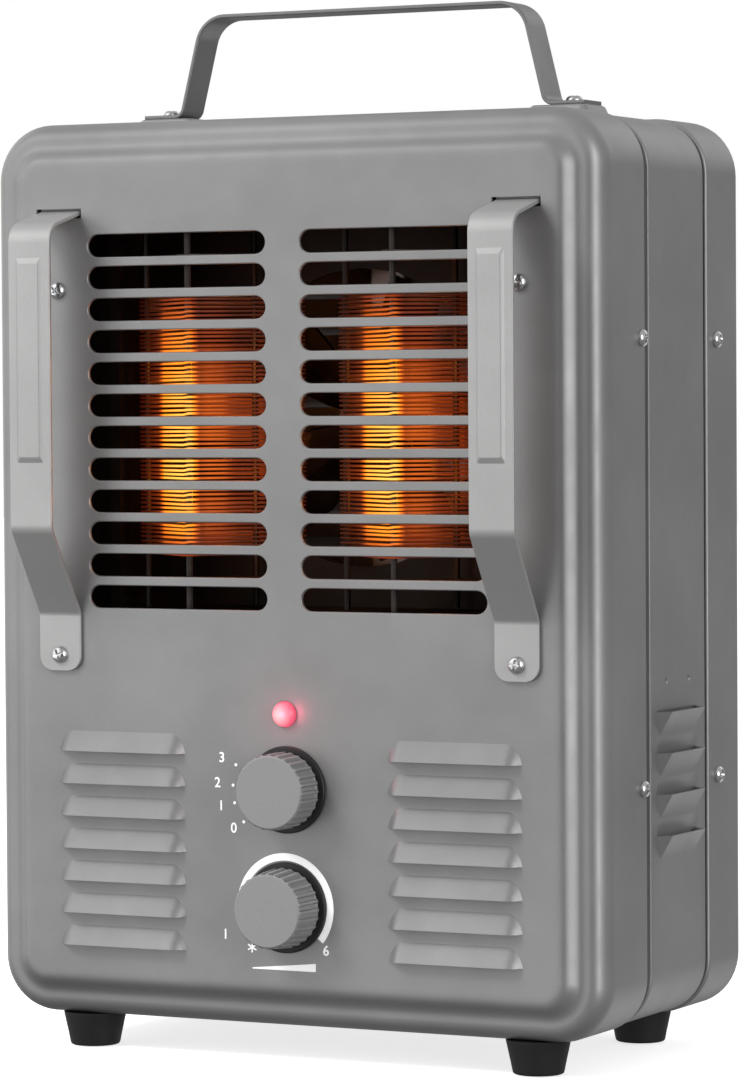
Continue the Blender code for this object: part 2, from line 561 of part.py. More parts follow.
# ---------------------------------------------------------------- tip-over switch and terminals
TIP = (106.0, 116.0)
tip = box("tip_switch_body", 97.0, 117.6, 55.0, 83.0, 124.0, 146.0)
lugs = bmesh.new()
for y in (62.0, 73.0):
    add_box(lugs, TIP[0] - 4.0, TIP[0] + 4.0, y, y + 3.0, 111.0, 125.0)
combine(tip, make("lugs", lugs), "UNION")
combine(tip, turned("bore", "y", TIP[0], TIP[1], [(60.0, 1.66), (78.0, 1.66)], 12), "DIFFERENCE")
turned("tip_pin", "y", TIP[0], TIP[1], [(60.6, 1.6), (77.4, 1.6)], 12)
bob = turned("tip_pendulum", "y", TIP[0], TIP[1], [(65.8, 3.6), (72.2, 3.6)], 16)
combine(bob, box("arm", TIP[0] - 1.4, TIP[0] + 1.4, 66.6, 71.4, 98.0, 114.6), "UNION")
combine(bob, turned("weight", "z", TIP[0], 69.0, [(88.0, 5.2), (89.2, 6.4), (99.6, 6.4)], 14), "UNION")
combine(bob, turned("bore", "y", TIP[0], TIP[1], [(60.0, 1.66), (78.0, 1.66)], 12), "DIFFERENCE")

block = box("terminal_block", -66.0, -22.0, 60.0, 76.0, 14.9, 31.0)
cuts = bmesh.new()
for x in (-59.0, -49.0, -39.0, -29.0):
    add_turned(cuts, "z", x, 68.0, [(24.0, 2.6), (33.0, 2.6)], 8)
combine(block, make("wells", cuts), "DIFFERENCE")

total = 0
for ob in bpy.data.objects:
    ob.data.calc_loop_triangles()
    total += len(ob.data.loop_triangles)
    if len(ob.data.loop_triangles) > 900:
        print("TRIS", ob.name, len(ob.data.loop_triangles))
print("OBJECTS", len(bpy.data.objects), "TRIANGLES", total)
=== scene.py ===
import math

import bmesh
import bpy
from mathutils import Matrix, Vector


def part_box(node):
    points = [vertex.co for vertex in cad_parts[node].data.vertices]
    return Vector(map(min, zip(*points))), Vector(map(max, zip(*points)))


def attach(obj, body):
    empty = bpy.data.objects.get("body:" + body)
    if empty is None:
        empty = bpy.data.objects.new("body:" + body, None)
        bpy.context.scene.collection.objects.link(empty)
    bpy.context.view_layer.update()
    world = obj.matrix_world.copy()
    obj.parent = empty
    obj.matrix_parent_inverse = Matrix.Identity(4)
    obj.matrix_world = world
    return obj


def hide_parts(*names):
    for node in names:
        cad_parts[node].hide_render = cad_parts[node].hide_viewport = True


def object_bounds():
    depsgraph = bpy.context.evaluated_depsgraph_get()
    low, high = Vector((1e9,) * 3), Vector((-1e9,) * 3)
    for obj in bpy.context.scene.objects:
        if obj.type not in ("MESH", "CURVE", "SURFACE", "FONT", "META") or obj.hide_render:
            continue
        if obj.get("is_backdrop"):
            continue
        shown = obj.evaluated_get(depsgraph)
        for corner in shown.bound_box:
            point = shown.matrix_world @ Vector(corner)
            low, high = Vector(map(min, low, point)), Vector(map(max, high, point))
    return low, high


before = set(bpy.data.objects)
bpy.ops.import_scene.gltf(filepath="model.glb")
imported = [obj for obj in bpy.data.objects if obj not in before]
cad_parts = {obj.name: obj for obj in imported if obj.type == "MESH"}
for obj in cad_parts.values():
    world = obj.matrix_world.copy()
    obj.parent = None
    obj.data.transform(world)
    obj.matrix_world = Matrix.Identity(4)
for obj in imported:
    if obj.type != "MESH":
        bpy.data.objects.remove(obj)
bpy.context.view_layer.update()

# ------------------------------------------------------------------ drawing frame
# Millimetres; the front panel's outer face is y = 0, X to the right, Y to the back, Z up from the floor.
MM = 0.001
Y_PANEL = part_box("front_shell")[1].y - 0.0407          # the front shell ends 40.7 mm behind the panel face
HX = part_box("rear_cover")[1].x * 1000.0
Z0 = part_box("rear_cover")[0].z * 1000.0
Z1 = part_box("rear_cover")[1].z * 1000.0


def pt(x, y, z):
    return Vector((x * MM, y * MM + Y_PANEL, z * MM))


# ------------------------------------------------------------------ camera
YAW, PITCH, ROLL = math.radians(26.94), math.radians(1.84), math.radians(-0.36)
fwd = Vector((-math.sin(YAW) * math.cos(PITCH), math.cos(YAW) * math.cos(PITCH), -math.sin(PITCH)))
right = Vector((math.cos(YAW), math.sin(YAW), 0.0))
up = right.cross(fwd)
cam_x = right * math.cos(ROLL) + up * math.sin(ROLL)
cam_y = up * math.cos(ROLL) - right * math.sin(ROLL)
cam_data = bpy.data.cameras.new("camera")
cam_data.sensor_fit = "AUTO"
cam_data.sensor_width = 36.0
cam_data.lens = 152.4
cam_data.clip_start = 0.05
cam_data.clip_end = 50.0
cam = bpy.data.objects.new("camera", cam_data)
bpy.context.scene.collection.objects.link(cam)
m = Matrix((cam_x, cam_y, -fwd)).transposed().to_4x4()
m.translation = pt(748.98, -1407.69, 234.82)
cam.matrix_world = m
bpy.context.scene.camera = cam


# ------------------------------------------------------------------ mesh helpers
def add_loft(bm, rings, loop=False, caps=True):
    rows = [[bm.verts.new(pt(*p)) for p in ring] for ring in rings]
    n = len(rows[0])
    follow = rows[1:] + ([rows[0]] if loop else [])
    for a, b in zip(rows, follow):
        for i in range(n):
            j = (i + 1) % n
            bm.faces.new((a[i], a[j], b[j], b[i]))
    if not loop and caps:
        bm.faces.new(rows[0][::-1])
        bm.faces.new(rows[-1])


def make(name, bm):
    bmesh.ops.recalc_face_normals(bm, faces=bm.faces)
    bent = []
    for f in bm.faces:
        if len(f.verts) == 4:
            a, b, c, d = (v.co for v in f.verts)
            n = (b - a).cross(c - a)
            if n.length > 0 and abs(n.normalized().dot(d - a)) > 2e-8:
                bent.append(f)
    bmesh.ops.triangulate(bm, faces=bent)
    mesh = bpy.data.meshes.new(name)
    bm.to_mesh(mesh)
    bm.free()
    ob = bpy.data.objects.new(name, mesh)
    bpy.context.scene.collection.objects.link(ob)
    return ob


def loft(name, rings, loop=False):
    bm = bmesh.new()
    add_loft(bm, rings, loop)
    return make(name, bm)


def combine(target, tool, how):
    mod = target.modifiers.new("step", "BOOLEAN")
    mod.operation = how
    mod.solver = "EXACT"
    mod.object = tool
    bpy.context.view_layer.update()
    graph = bpy.context.evaluated_depsgraph_get()
    mesh = bpy.data.meshes.new_from_object(target.evaluated_get(graph))
    if not mesh.polygons:
        raise RuntimeError("a cut or join emptied " + target.name)
    target.modifiers.clear()
    target.data = mesh
    bpy.data.objects.remove(tool, do_unlink=True)
    bm = bmesh.new()
    bm.from_mesh(mesh)
    bmesh.ops.remove_doubles(bm, verts=bm.verts, dist=2e-7)
    bmesh.ops.dissolve_degenerate(bm, edges=bm.edges, dist=1e-7)
    bm.to_mesh(mesh)
    bm.free()
    return target


def ring_at(axis, at, u0, v0, r, n, phase=0.0):
    out = []
    for k in range(n):
        a = phase + 2.0 * math.pi * k / n
        u, v = u0 + r * math.cos(a), v0 + r * math.sin(a)
        out.append({"x": (at, u, v), "y": (u, at, v), "z": (u, v, at)}[axis])
    return out


def add_turned(bm, axis, u0, v0, profile, n=24, loop=False, phase=0.0):
    add_loft(bm, [ring_at(axis, at, u0, v0, r, n, phase) for at, r in profile], loop)


def turned(name, axis, u0, v0, profile, n=24, loop=False):
    bm = bmesh.new()
    add_turned(bm, axis, u0, v0, profile, n, loop)
    return make(name, bm)


def add_box(bm, x0, x1, y0, y1, z0, z1):
    add_loft(bm, [[(x, y0, z0), (x, y1, z0), (x, y1, z1), (x, y0, z1)] for x in (x0, x1)])


def rounded(x0, x1, z0, z1, r, y, seg=12):
    out = []
    for cx, cz, start in ((x1 - r, z1 - r, 0), (x0 + r, z1 - r, 90), (x0 + r, z0 + r, 180), (x1 - r, z0 + r, 270)):
        for k in range(seg + 1):
            a = math.radians(start + 90.0 * k / seg)
            out.append((cx + r * math.cos(a), y, cz + r * math.sin(a)))
    return out


def case_ring(inset, y, seg=12):
    r = max(20.0 - 0.85 * inset, 6.0)
    return rounded(-HX + inset, HX - inset, Z0 + inset, Z1 - inset, r, y, seg)


def smooth_line(points, per=3):
    """A monotone-ish smooth line through 2-D points, for soft pressed profiles."""
    n = len(points)
    dist = [0.0]
    for a, b in zip(points, points[1:]):
        dist.append(dist[-1] + math.hypot(b[0] - a[0], b[1] - a[1]))
    tang = []
    for k in range(n):
        a, b = max(k - 1, 0), min(k + 1, n - 1)
        s = dist[b] - dist[a]
        tang.append(((points[b][0] - points[a][0]) / s, (points[b][1] - points[a][1]) / s))
    out = []
    for k in range(n - 1):
        h = dist[k + 1] - dist[k]
        for i in range(per):
            t = i / per
            h00, h10 = 2 * t ** 3 - 3 * t ** 2 + 1, t ** 3 - 2 * t ** 2 + t
            h01, h11 = -2 * t ** 3 + 3 * t ** 2, t ** 3 - t ** 2
            out.append(tuple(h00 * points[k][c] + h10 * h * tang[k][c] + h01 * points[k + 1][c] + h11 * h * tang[k + 1][c] for c in (0, 1)))
    out.append(points[-1])
    return out


def capsule_line(x0, x1, z0, z1, grow, seg):
    r = (z1 - z0) / 2.0
    zc = (z0 + z1) / 2.0
    line = []
    for cx, start in ((x1 - r, -90), (x0 + r, 90)):
        for k in range(seg + 1):
            a = math.radians(start + 180.0 * k / seg)
            line.append((cx + (r + grow) * math.cos(a), zc + (r + grow) * math.sin(a)))
    return line


def add_slot(bm, x0, x1, z0, z1, y_face, y_end, seg=10, edge=0.45, sign=1.0):
    """Full-round slot cutter with a rolled edge at the face."""
    steps = [(-0.9, edge), (0.0, edge), (0.07, edge * 0.6), (0.2, edge * 0.25), (0.42, 0.0)]
    rings = []
    for dy, grow in steps:
        rings.append([(x, y_face + sign * dy, z) for x, z in capsule_line(x0, x1, z0, z1, grow, seg)])
    rings.append([(x, y_end, z) for x, z in capsule_line(x0, x1, z0, z1, 0.0, seg)])
    add_loft(bm, rings)


def fillet_path(points, radii, seg=10):
    out = [points[0]]
    for k in range(1, len(points) - 1):
        p0, p1, p2 = (Vector(points[k - 1]), Vector(points[k]), Vector(points[k + 1]))
        a, b = (p0 - p1).normalized(), (p2 - p1).normalized()
        turn = math.pi - a.angle(b)
        r = radii[k - 1]
        if turn < 1e-4 or r <= 0:
            out.append(points[k])
            continue
        reach = r * math.tan(turn / 2.0)
        mid = (a + b).normalized()
        centre = p1 + mid * (r / math.cos(turn / 2.0))
        start, end = p1 + a * reach - centre, p1 + b * reach - centre
        a0, a1 = math.atan2(start.y, start.x), math.atan2(end.y, end.x)
        while a1 - a0 > math.pi:
            a1 -= 2 * math.pi
        while a1 - a0 < -math.pi:
            a1 += 2 * math.pi
        for i in range(seg + 1):
            t = a0 + (a1 - a0) * i / seg
            out.append((centre.x + r * math.cos(t), centre.y + r * math.sin(t)))
    out.append(points[-1])
    return out


def normals_of(path):
    out = []
    for k in range(len(path)):
        here = Vector(path[k])
        d1 = (here - Vector(path[k - 1])) if k else (Vector(path[1]) - here)
        d2 = (Vector(path[k + 1]) - here) if k < len(path) - 1 else (here - Vector(path[k - 1]))
        d1.normalize()
        d2.normalize()
        t = (d1 + d2).normalized()
        out.append((Vector((-t.y, t.x)), 1.0 / max(t.dot(d1), 0.5)))
    return out


def smooth(ob, angle=36.0, weighted=True):
    ob.data.shade_smooth()
    ob.data.set_sharp_from_angle(angle=math.radians(angle))
    if weighted:
        mod = ob.modifiers.new("normals", "WEIGHTED_NORMAL")
        mod.keep_sharp = True
        mod.weight = 60
    return ob


def settle(ob, body, material, nodes=(), angle=36.0, weighted=True):
    """Gives a finished piece its shading, finish, body and the CAD nodes it stands for."""
    smooth(ob, angle, weighted)
    ob.data.materials.clear()
    ob.data.materials.append(material)
    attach(ob, body)
    if nodes:
        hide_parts(*nodes)
    return ob


# ------------------------------------------------------------------ materials
def base(name):
    mat = bpy.data.materials.new(name)
    mat.use_nodes = True
    nt = mat.node_tree
    return mat, nt, nt.nodes["Principled BSDF"]


def noise(nt, scale, detail=3.0, rough=0.55, stretch=None):
    co = nt.nodes.new("ShaderNodeTexCoord")
    mp = nt.nodes.new("ShaderNodeMapping")
    nz = nt.nodes.new("ShaderNodeTexNoise")
    nt.links.new(co.outputs["Object"], mp.inputs["Vector"])
    nt.links.new(mp.outputs["Vector"], nz.inputs["Vector"])
    if stretch:
        mp.inputs["Scale"].default_value = stretch
    nz.inputs["Scale"].default_value = scale
    nz.inputs["Detail"].default_value = detail
    nz.inputs["Roughness"].default_value = rough
    return nz


def ramp(nt, source, stops):
    cr = nt.nodes.new("ShaderNodeValToRGB")
    el = cr.color_ramp.elements
    while len(el) > 1:
        el.remove(el[-1])
    el[0].position, el[0].color = stops[0][0], (*stops[0][1], 1.0)
    for pos, col in stops[1:]:
        e = el.new(pos)
        e.color = (*col, 1.0)
    nt.links.new(source, cr.inputs["Fac"])
    return cr


def spread(nt, source, low, high, a=0.3, b=0.7):
    mr = nt.nodes.new("ShaderNodeMapRange")
    mr.inputs["From Min"].default_value = a
    mr.inputs["From Max"].default_value = b
    mr.inputs["To Min"].default_value = low
    mr.inputs["To Max"].default_value = high
    nt.links.new(source, mr.inputs["Value"])
    return mr.outputs["Result"]


def bump(nt, bsdf, heights, distance=0.00002, strength=1.0):
    """Chains bumps from (source, distance) pairs into the shader."""
    last = None
    for source, dist, amount in heights:
        bp = nt.nodes.new("ShaderNodeBump")
        bp.inputs["Strength"].default_value = amount
        bp.inputs["Distance"].default_value = dist
        nt.links.new(source, bp.inputs["Height"])
        if last is not None:
            nt.links.new(last, bp.inputs["Normal"])
        last = bp.outputs["Normal"]
    nt.links.new(last, bsdf.inputs["Normal"])


def paint(name, col, metallic=0.45, rough=(0.30, 0.38), grain=2600.0, vary=0.05, coat=0.0, edge=0.0):
    """Satin metallic stove paint: fine flake grain, faint blotching and an orange-peel bump."""
    mat, nt, b = base(name)
    big = noise(nt, 14.0, 4.0)
    lo = tuple(c * (1.0 - vary) for c in col)
    hi = tuple(min(c * (1.0 + vary), 1.0) for c in col)
    wide = ramp(nt, big.outputs["Fac"], [(0.35, lo), (0.65, hi)])
    fine = noise(nt, grain, 2.0)
    flake = ramp(nt, fine.outputs["Fac"], [(0.30, (0.955, 0.955, 0.955)), (0.70, (1.04, 1.04, 1.04))])
    mix = nt.nodes.new("ShaderNodeMix")
    mix.data_type = "RGBA"
    mix.blend_type = "MULTIPLY"
    mix.inputs["Factor"].default_value = 1.0
    nt.links.new(wide.outputs["Color"], mix.inputs["A"])
    nt.links.new(flake.outputs["Color"], mix.inputs["B"])
    nt.links.new(mix.outputs["Result"], b.inputs["Base Color"])
    b.inputs["Metallic"].default_value = metallic
    mid = noise(nt, 90.0, 3.0)
    nt.links.new(spread(nt, mid.outputs["Fac"], rough[0], rough[1]), b.inputs["Roughness"])
    peel = noise(nt, 420.0, 2.0)
    bump(nt, b, [(peel.outputs["Fac"], 0.00003, 0.22), (fine.outputs["Fac"], 0.00001, 0.12)])
    if coat:
        b.inputs["Coat Weight"].default_value = coat
        b.inputs["Coat Roughness"].default_value = 0.2
    return mat


def metal(name, col, rough=(0.18, 0.32), streak=None, grain=500.0, vary=0.12):
    mat, nt, b = base(name)
    nz = noise(nt, grain, 3.0, 0.6, streak)
    lo = tuple(c * (1.0 - vary) for c in col)
    hi = tuple(min(c * (1.0 + vary), 1.0) for c in col)
    cr = ramp(nt, nz.outputs["Fac"], [(0.3, lo), (0.7, hi)])
    nt.links.new(cr.outputs["Color"], b.inputs["Base Color"])
    b.inputs["Metallic"].default_value = 1.0
    nt.links.new(spread(nt, nz.outputs["Fac"], rough[0], rough[1]), b.inputs["Roughness"])
    bump(nt, b, [(nz.outputs["Fac"], 0.00001, 0.3)])
    return mat


def plastic(name, col, rough=(0.42, 0.55), grain=900.0, vary=0.06, spec=0.5, bumps=0.00002):
    mat, nt, b = base(name)
    nz = noise(nt, grain, 3.0)
    lo = tuple(c * (1.0 - vary) for c in col)
    hi = tuple(min(c * (1.0 + vary), 1.0) for c in col)
    cr = ramp(nt, nz.outputs["Fac"], [(0.3, lo), (0.7, hi)])
    nt.links.new(cr.outputs["Color"], b.inputs["Base Color"])
    big = noise(nt, 60.0, 3.0)
    nt.links.new(spread(nt, big.outputs["Fac"], rough[0], rough[1]), b.inputs["Roughness"])
    b.inputs["Specular IOR Level"].default_value = spec
    bump(nt, b, [(nz.outputs["Fac"], bumps, 0.4)])
    return mat


CASE = paint("case_paint", (0.312, 0.309, 0.309), metallic=0.56, rough=(0.36, 0.43), vary=0.085)
GUARD = paint("guard_paint", (0.47, 0.467, 0.465), metallic=0.52, rough=(0.36, 0.43))
BAIL = paint("handle_paint", (0.22, 0.22, 0.22), metallic=0.65, rough=(0.30, 0.38))
CHROME = metal("screw_plate", (0.70, 0.70, 0.71), rough=(0.07, 0.15), grain=900.0)
KNOB = plastic("knob_plastic", (0.285, 0.284, 0.286), rough=(0.36, 0.44), vary=0.03)
BLACK = plastic("black_plastic", (0.012, 0.012, 0.013), rough=(0.35, 0.5))
RUBBER = plastic("foot_rubber", (0.014, 0.014, 0.014), rough=(0.55, 0.72), grain=500.0, spec=0.35, bumps=0.00006)
PRINT_AND_PAINTED_GLOW = plastic("white_print_painted_glow", (0.86, 0.86, 0.86), rough=(0.45, 0.55), grain=1500.0, vary=0.03)
print_painted_glow = PRINT_AND_PAINTED_GLOW.node_tree.nodes["Principled BSDF"]
# The print gets a faint glow of its own to read whiter: painted light, not a lamp.
print_painted_glow.inputs["Emission Color"].default_value = (1.0, 1.0, 1.0, 1.0)
print_painted_glow.inputs["Emission Strength"].default_value = 0.32
PLATED = metal("plated_sheet", (0.40, 0.39, 0.38), rough=(0.30, 0.45), grain=160.0)
# Near-black sheet for the duct and fan plate: darkened so the inside of the case reads dark, which is painted shade.
DARK = metal("darkened_duct_sheet", (0.050, 0.042, 0.038), rough=(0.42, 0.6), grain=120.0)
ROD = metal("former_rods", (0.085, 0.075, 0.07), rough=(0.40, 0.55), grain=300.0)
LAMIN = metal("laminations", (0.30, 0.30, 0.31), rough=(0.35, 0.5), streak=(1.0, 60.0, 1.0), grain=60.0)
COPPER = plastic("enamelled_wire", (0.35, 0.12, 0.04), rough=(0.25, 0.4), grain=700.0)
# The fan blades are near-black for the same reason: painted shade inside the case.
FAN = metal("fan_blades", (0.055, 0.052, 0.05), rough=(0.35, 0.5), grain=140.0)


def glow_wire(name, cx):
    """Resistance wire glowing orange: brightest in the middle of each former, duller away from it and dark at the ends;
    the bright middle is partly painted highlight and the dimmer rear turns are painted shade.
    """
    mat, nt, b = base(name)
    co = nt.nodes.new("ShaderNodeTexCoord")
    sp = nt.nodes.new("ShaderNodeSeparateXYZ")
    nt.links.new(co.outputs["Object"], sp.inputs["Vector"])
    off = nt.nodes.new("ShaderNodeMath")
    off.operation = "SUBTRACT"
    off.inputs[1].default_value = cx * MM
    nt.links.new(sp.outputs["X"], off.inputs[0])
    across = nt.nodes.new("ShaderNodeMapRange")
    across.inputs["From Min"].default_value = -0.034
    across.inputs["From Max"].default_value = 0.034
    nt.links.new(off.outputs["Value"], across.inputs["Value"])
    # Brightness across each former: real glow plus a painted highlight down its middle.
    glow_and_highlight = ramp(nt, across.outputs["Result"], [(f, (v, v, v)) for f, v in (
        (0.00, 0.20), (0.16, 0.30), (0.22, 0.42), (0.28, 0.90), (0.42, 1.0), (0.53, 0.98), (0.565, 0.50), (0.60, 0.56), (0.66, 0.52), (0.72, 0.33), (0.86, 0.27), (1.0, 0.16))])
    deep = nt.nodes.new("ShaderNodeMapRange")
    deep.inputs["From Min"].default_value = Y_PANEL + 0.0032
    deep.inputs["From Max"].default_value = Y_PANEL + 0.0568
    nt.links.new(sp.outputs["Y"], deep.inputs["Value"])
    # The rear turns are dimmed by depth: painted shade, since every turn runs equally hot.
    back = ramp(nt, deep.outputs["Result"], [(0.0, (1.0, 1.0, 1.0)), (0.40, (0.92, 0.92, 0.92)), (0.52, (0.55, 0.55, 0.55)), (1.0, (0.38, 0.38, 0.38))])
    high = nt.nodes.new("ShaderNodeMapRange")
    high.inputs["From Min"].default_value = 0.176
    high.inputs["From Max"].default_value = 0.272
    nt.links.new(sp.outputs["Z"], high.inputs["Value"])
    fall = ramp(nt, high.outputs["Result"], [
        (0.0, (0.30, 0.30, 0.30)), (0.10, (0.75, 0.75, 0.75)), (0.3, (1.0, 1.0, 1.0)), (0.62, (0.90, 0.90, 0.90)), (0.85, (0.66, 0.66, 0.66)), (1.0, (0.32, 0.32, 0.32))])
    mul = nt.nodes.new("ShaderNodeMath")
    mul.operation = "MULTIPLY"
    nt.links.new(glow_and_highlight.outputs["Color"], mul.inputs[0])
    nt.links.new(fall.outputs["Color"], mul.inputs[1])
    mul2 = nt.nodes.new("ShaderNodeMath")
    mul2.operation = "MULTIPLY"
    nt.links.new(mul.outputs["Value"], mul2.inputs[0])
    nt.links.new(back.outputs["Color"], mul2.inputs[1])
    col = ramp(nt, mul2.outputs["Value"], [
        (0.0, (0.004, 0.0003, 0.0)), (0.20, (0.035, 0.0030, 0.0002)), (0.38, (0.15, 0.016, 0.0008)), (0.58, (0.50, 0.085, 0.003)), (0.78, (0.92, 0.26, 0.010)), (1.0, (1.0, 0.50, 0.07))])
    nt.links.new(col.outputs["Color"], b.inputs["Emission Color"])
    b.inputs["Emission Strength"].default_value = 1.6
    b.inputs["Base Color"].default_value = (0.05, 0.03, 0.02, 1.0)
    nz = noise(nt, 400.0)
    nt.links.new(spread(nt, nz.outputs["Fac"], 0.5, 0.7), b.inputs["Roughness"])
    return mat


# ------------------------------------------------------------------ front shell
OUTER = smooth_line([(17.0, 0.0), (14.8, 0.1), (13.2, 0.5), (11.9, 1.35), (10.7, 2.45), (9.5, 3.35), (8.3, 3.85), (7.0, 4.05), (5.5, 4.2), (4.0, 4.7), (2.55, 5.8),
                     (1.2, 7.75), (0.35, 10.1), (0.0, 12.4)], 3) + [(0.0, 25.0), (0.0, 40.0), (0.25, 40.5), (0.6, 40.7)]
INNER = [(17.0, 1.2), (14.6, 1.9), (11.6, 4.2), (8.6, 5.2), (6.4, 5.4), (4.0, 7.2), (2.2, 9.2), (1.2, 12.6), (1.2, 43.0)]
shell = loft("front_shell_vis", [case_ring(d, y) for d, y in OUTER])
combine(shell, loft("void", [case_ring(d, y) for d, y in INNER]), "DIFFERENCE")

LOUVRE_Z = [107.84 - 11.578 * k for k in range(7)]
LOUVRE_X = [(-91.4, -39.8), (39.8, 91.4)]
OUT_END = [(0.0, 0.0, 0.10), (0.7, 0.22, 0.36), (1.5, 0.46, 0.57), (2.5, 0.70, 0.76), (3.5, 0.88, 0.89), (4.5, 0.965, 0.965), (5.6, 0.993, 0.995), (7.0, 1.0, 1.0)]
IN_END = [(1.3, 0.0, 0.16), (2.2, 0.34, 0.44), (3.2, 0.64, 0.66), (4.3, 0.86, 0.85), (5.6, 0.96, 0.95), (8.0, 1.0, 1.0)]


def hood_line(s, p, h):
    front = 0.3 - (p + 0.3) * s
    out = [(0.7, 0.0), (front, 0.0)]
    for t, q in ((0.03, 0.985), (0.10, 0.93), (0.25, 0.80), (0.45, 0.605), (0.65, 0.40), (0.82, 0.215), (0.93, 0.085)):
        out.append((0.3 + (front - 0.3) * q, 1.06 * h * t))
    return out + [(0.3, 1.06 * h), (0.7, 1.06 * h)]


def hood_void(s, p, h):
    front = 0.35 - (p - 0.9 + 0.35) * s
    step, rise = max(-0.02, front + 0.12), min(0.9, 0.30 * h)
    out = [(2.2, rise), (step, rise), (step, -0.35), (front, -0.35)]
    for t, q in ((0.25, 0.78), (0.5, 0.53), (0.75, 0.27)):
        out.append((0.35 + (front - 0.35) * q, 0.80 * h * t))
    return out + [(0.35 + 0.13, 0.80 * h), (2.2, 0.80 * h)]


hoods, voids = bmesh.new(), bmesh.new()
for zb in LOUVRE_Z:
    for x0, x1 in LOUVRE_X:
        for bm, ends, line in ((hoods, OUT_END, hood_line), (voids, IN_END, hood_void)):
            steps = [(x0 + d, s, h) for d, s, h in ends] + [(x1 - d, s, h) for d, s, h in reversed(ends)]
            add_loft(bm, [[(x, y, zb + z) for y, z in line(s, 3.8, 7.1 * h)] for x, s, h in steps])
combine(shell, make("hoods", hoods), "UNION")
combine(shell, make("hood_voids", voids), "DIFFERENCE")

GUARD_X = 90.1
cuts = bmesh.new()
for row in range(12):
    top = 291.7 - 11.34 * row
    for x0, x1 in ((-78.4, -6.8), (6.8, 78.4)):
        add_slot(cuts, x0, x1, top - 7.98, top, 0.0, 2.5)
for s in (-1, 1):
    add_box(cuts, s * GUARD_X - 9.2, s * GUARD_X + 9.2, -1.0, 2.5, 297.7, 301.2)
for x, z in ((-90.8, 272.1), (90.8, 272.1), (-GUARD_X, 142.1), (GUARD_X, 142.1)):
    add_turned(cuts, "y", x, z, [(-1.0, 2.0), (2.5, 2.0)], 16)
for x, z in ((0.7, 96.5), (0.0, 55.2)):
    add_turned(cuts, "y", x, z, [(-1.0, 4.2), (2.5, 4.2)], 24)
add_turned(cuts, "y", 0.0, 122.9, [(-1.0, 4.7), (2.5, 4.7)], 28)
SIDE_SCREWS = [(s, y, z) for s in (-1, 1) for y in (37.4, 104.0) for z in (253.2, 97.7)]
FEET = [("front_left", -88.4, 18.4), ("front_right", 88.4, 18.4), ("rear_left", -88.4, 106.2), ("rear_right", 88.4, 106.2)]
for s, y, z in SIDE_SCREWS:
    if y < 60:
        add_turned(cuts, "x", y, z, [(s * 112.0, 2.0), (s * 124.0, 2.0)], 16)
combine(shell, make("panel_cuts", cuts), "DIFFERENCE")
settle(shell, "case", CASE, ["front_shell"])

# ------------------------------------------------------------------ middle wrap
SEAT_Z = 335.8
W_OUT = [(1.5, 33.0), (1.5, 41.3), (3.3, 42.0), (3.3, 45.2), (3.1, 45.5), (1.5, 45.6), (1.2, 45.7), (0.98, 45.95), (0.85, 46.3), (0.8, 46.8),
         (0.8, 93.9), (0.95, 94.2), (1.7, 94.35), (1.7, 111.0)]
W_IN = [(2.5, 111.0), (2.5, 94.6), (1.8, 93.0), (1.8, 48.6), (2.5, 47.6), (4.3, 46.4), (4.3, 41.0), (2.5, 40.6), (2.5, 33.0)]
wrap = loft("middle_wrap_vis", [case_ring(d, y) for d, y in W_OUT + W_IN], loop=True)
face = HX - 0.8


def pad_ring(cx, cy, hx, hy, r, z, seg=4):
    return [(x, y, z) for x, _, y in [(p[0], 0, p[2]) for p in rounded(cx - hx, cx + hx, cy - hy, cy + hy, r, 0.0, seg)]]


seats, seat_voids = bmesh.new(), bmesh.new()
for s in (-1, 1):
    c = s * 79.0
    add_loft(seats, [pad_ring(c, 67.5, a, b, r, z) for z, a, b, r in (
        (330.6, 13.0, 12.0, 3.0), (331.4, 12.5, 11.5, 3.0), (332.4, 11.9, 10.9, 2.8), (334.4, 11.2, 10.2, 2.5), (335.3, 10.8, 9.8, 2.3), (SEAT_Z, 10.1, 9.1, 2.0))])
    add_loft(seat_voids, [pad_ring(c, 67.5, a, b, 2.0, z) for z, a, b in ((329.4, 12.0, 11.0), (SEAT_Z - 1.1, 9.6, 8.6))])
combine(wrap, make("seats", seats), "UNION")

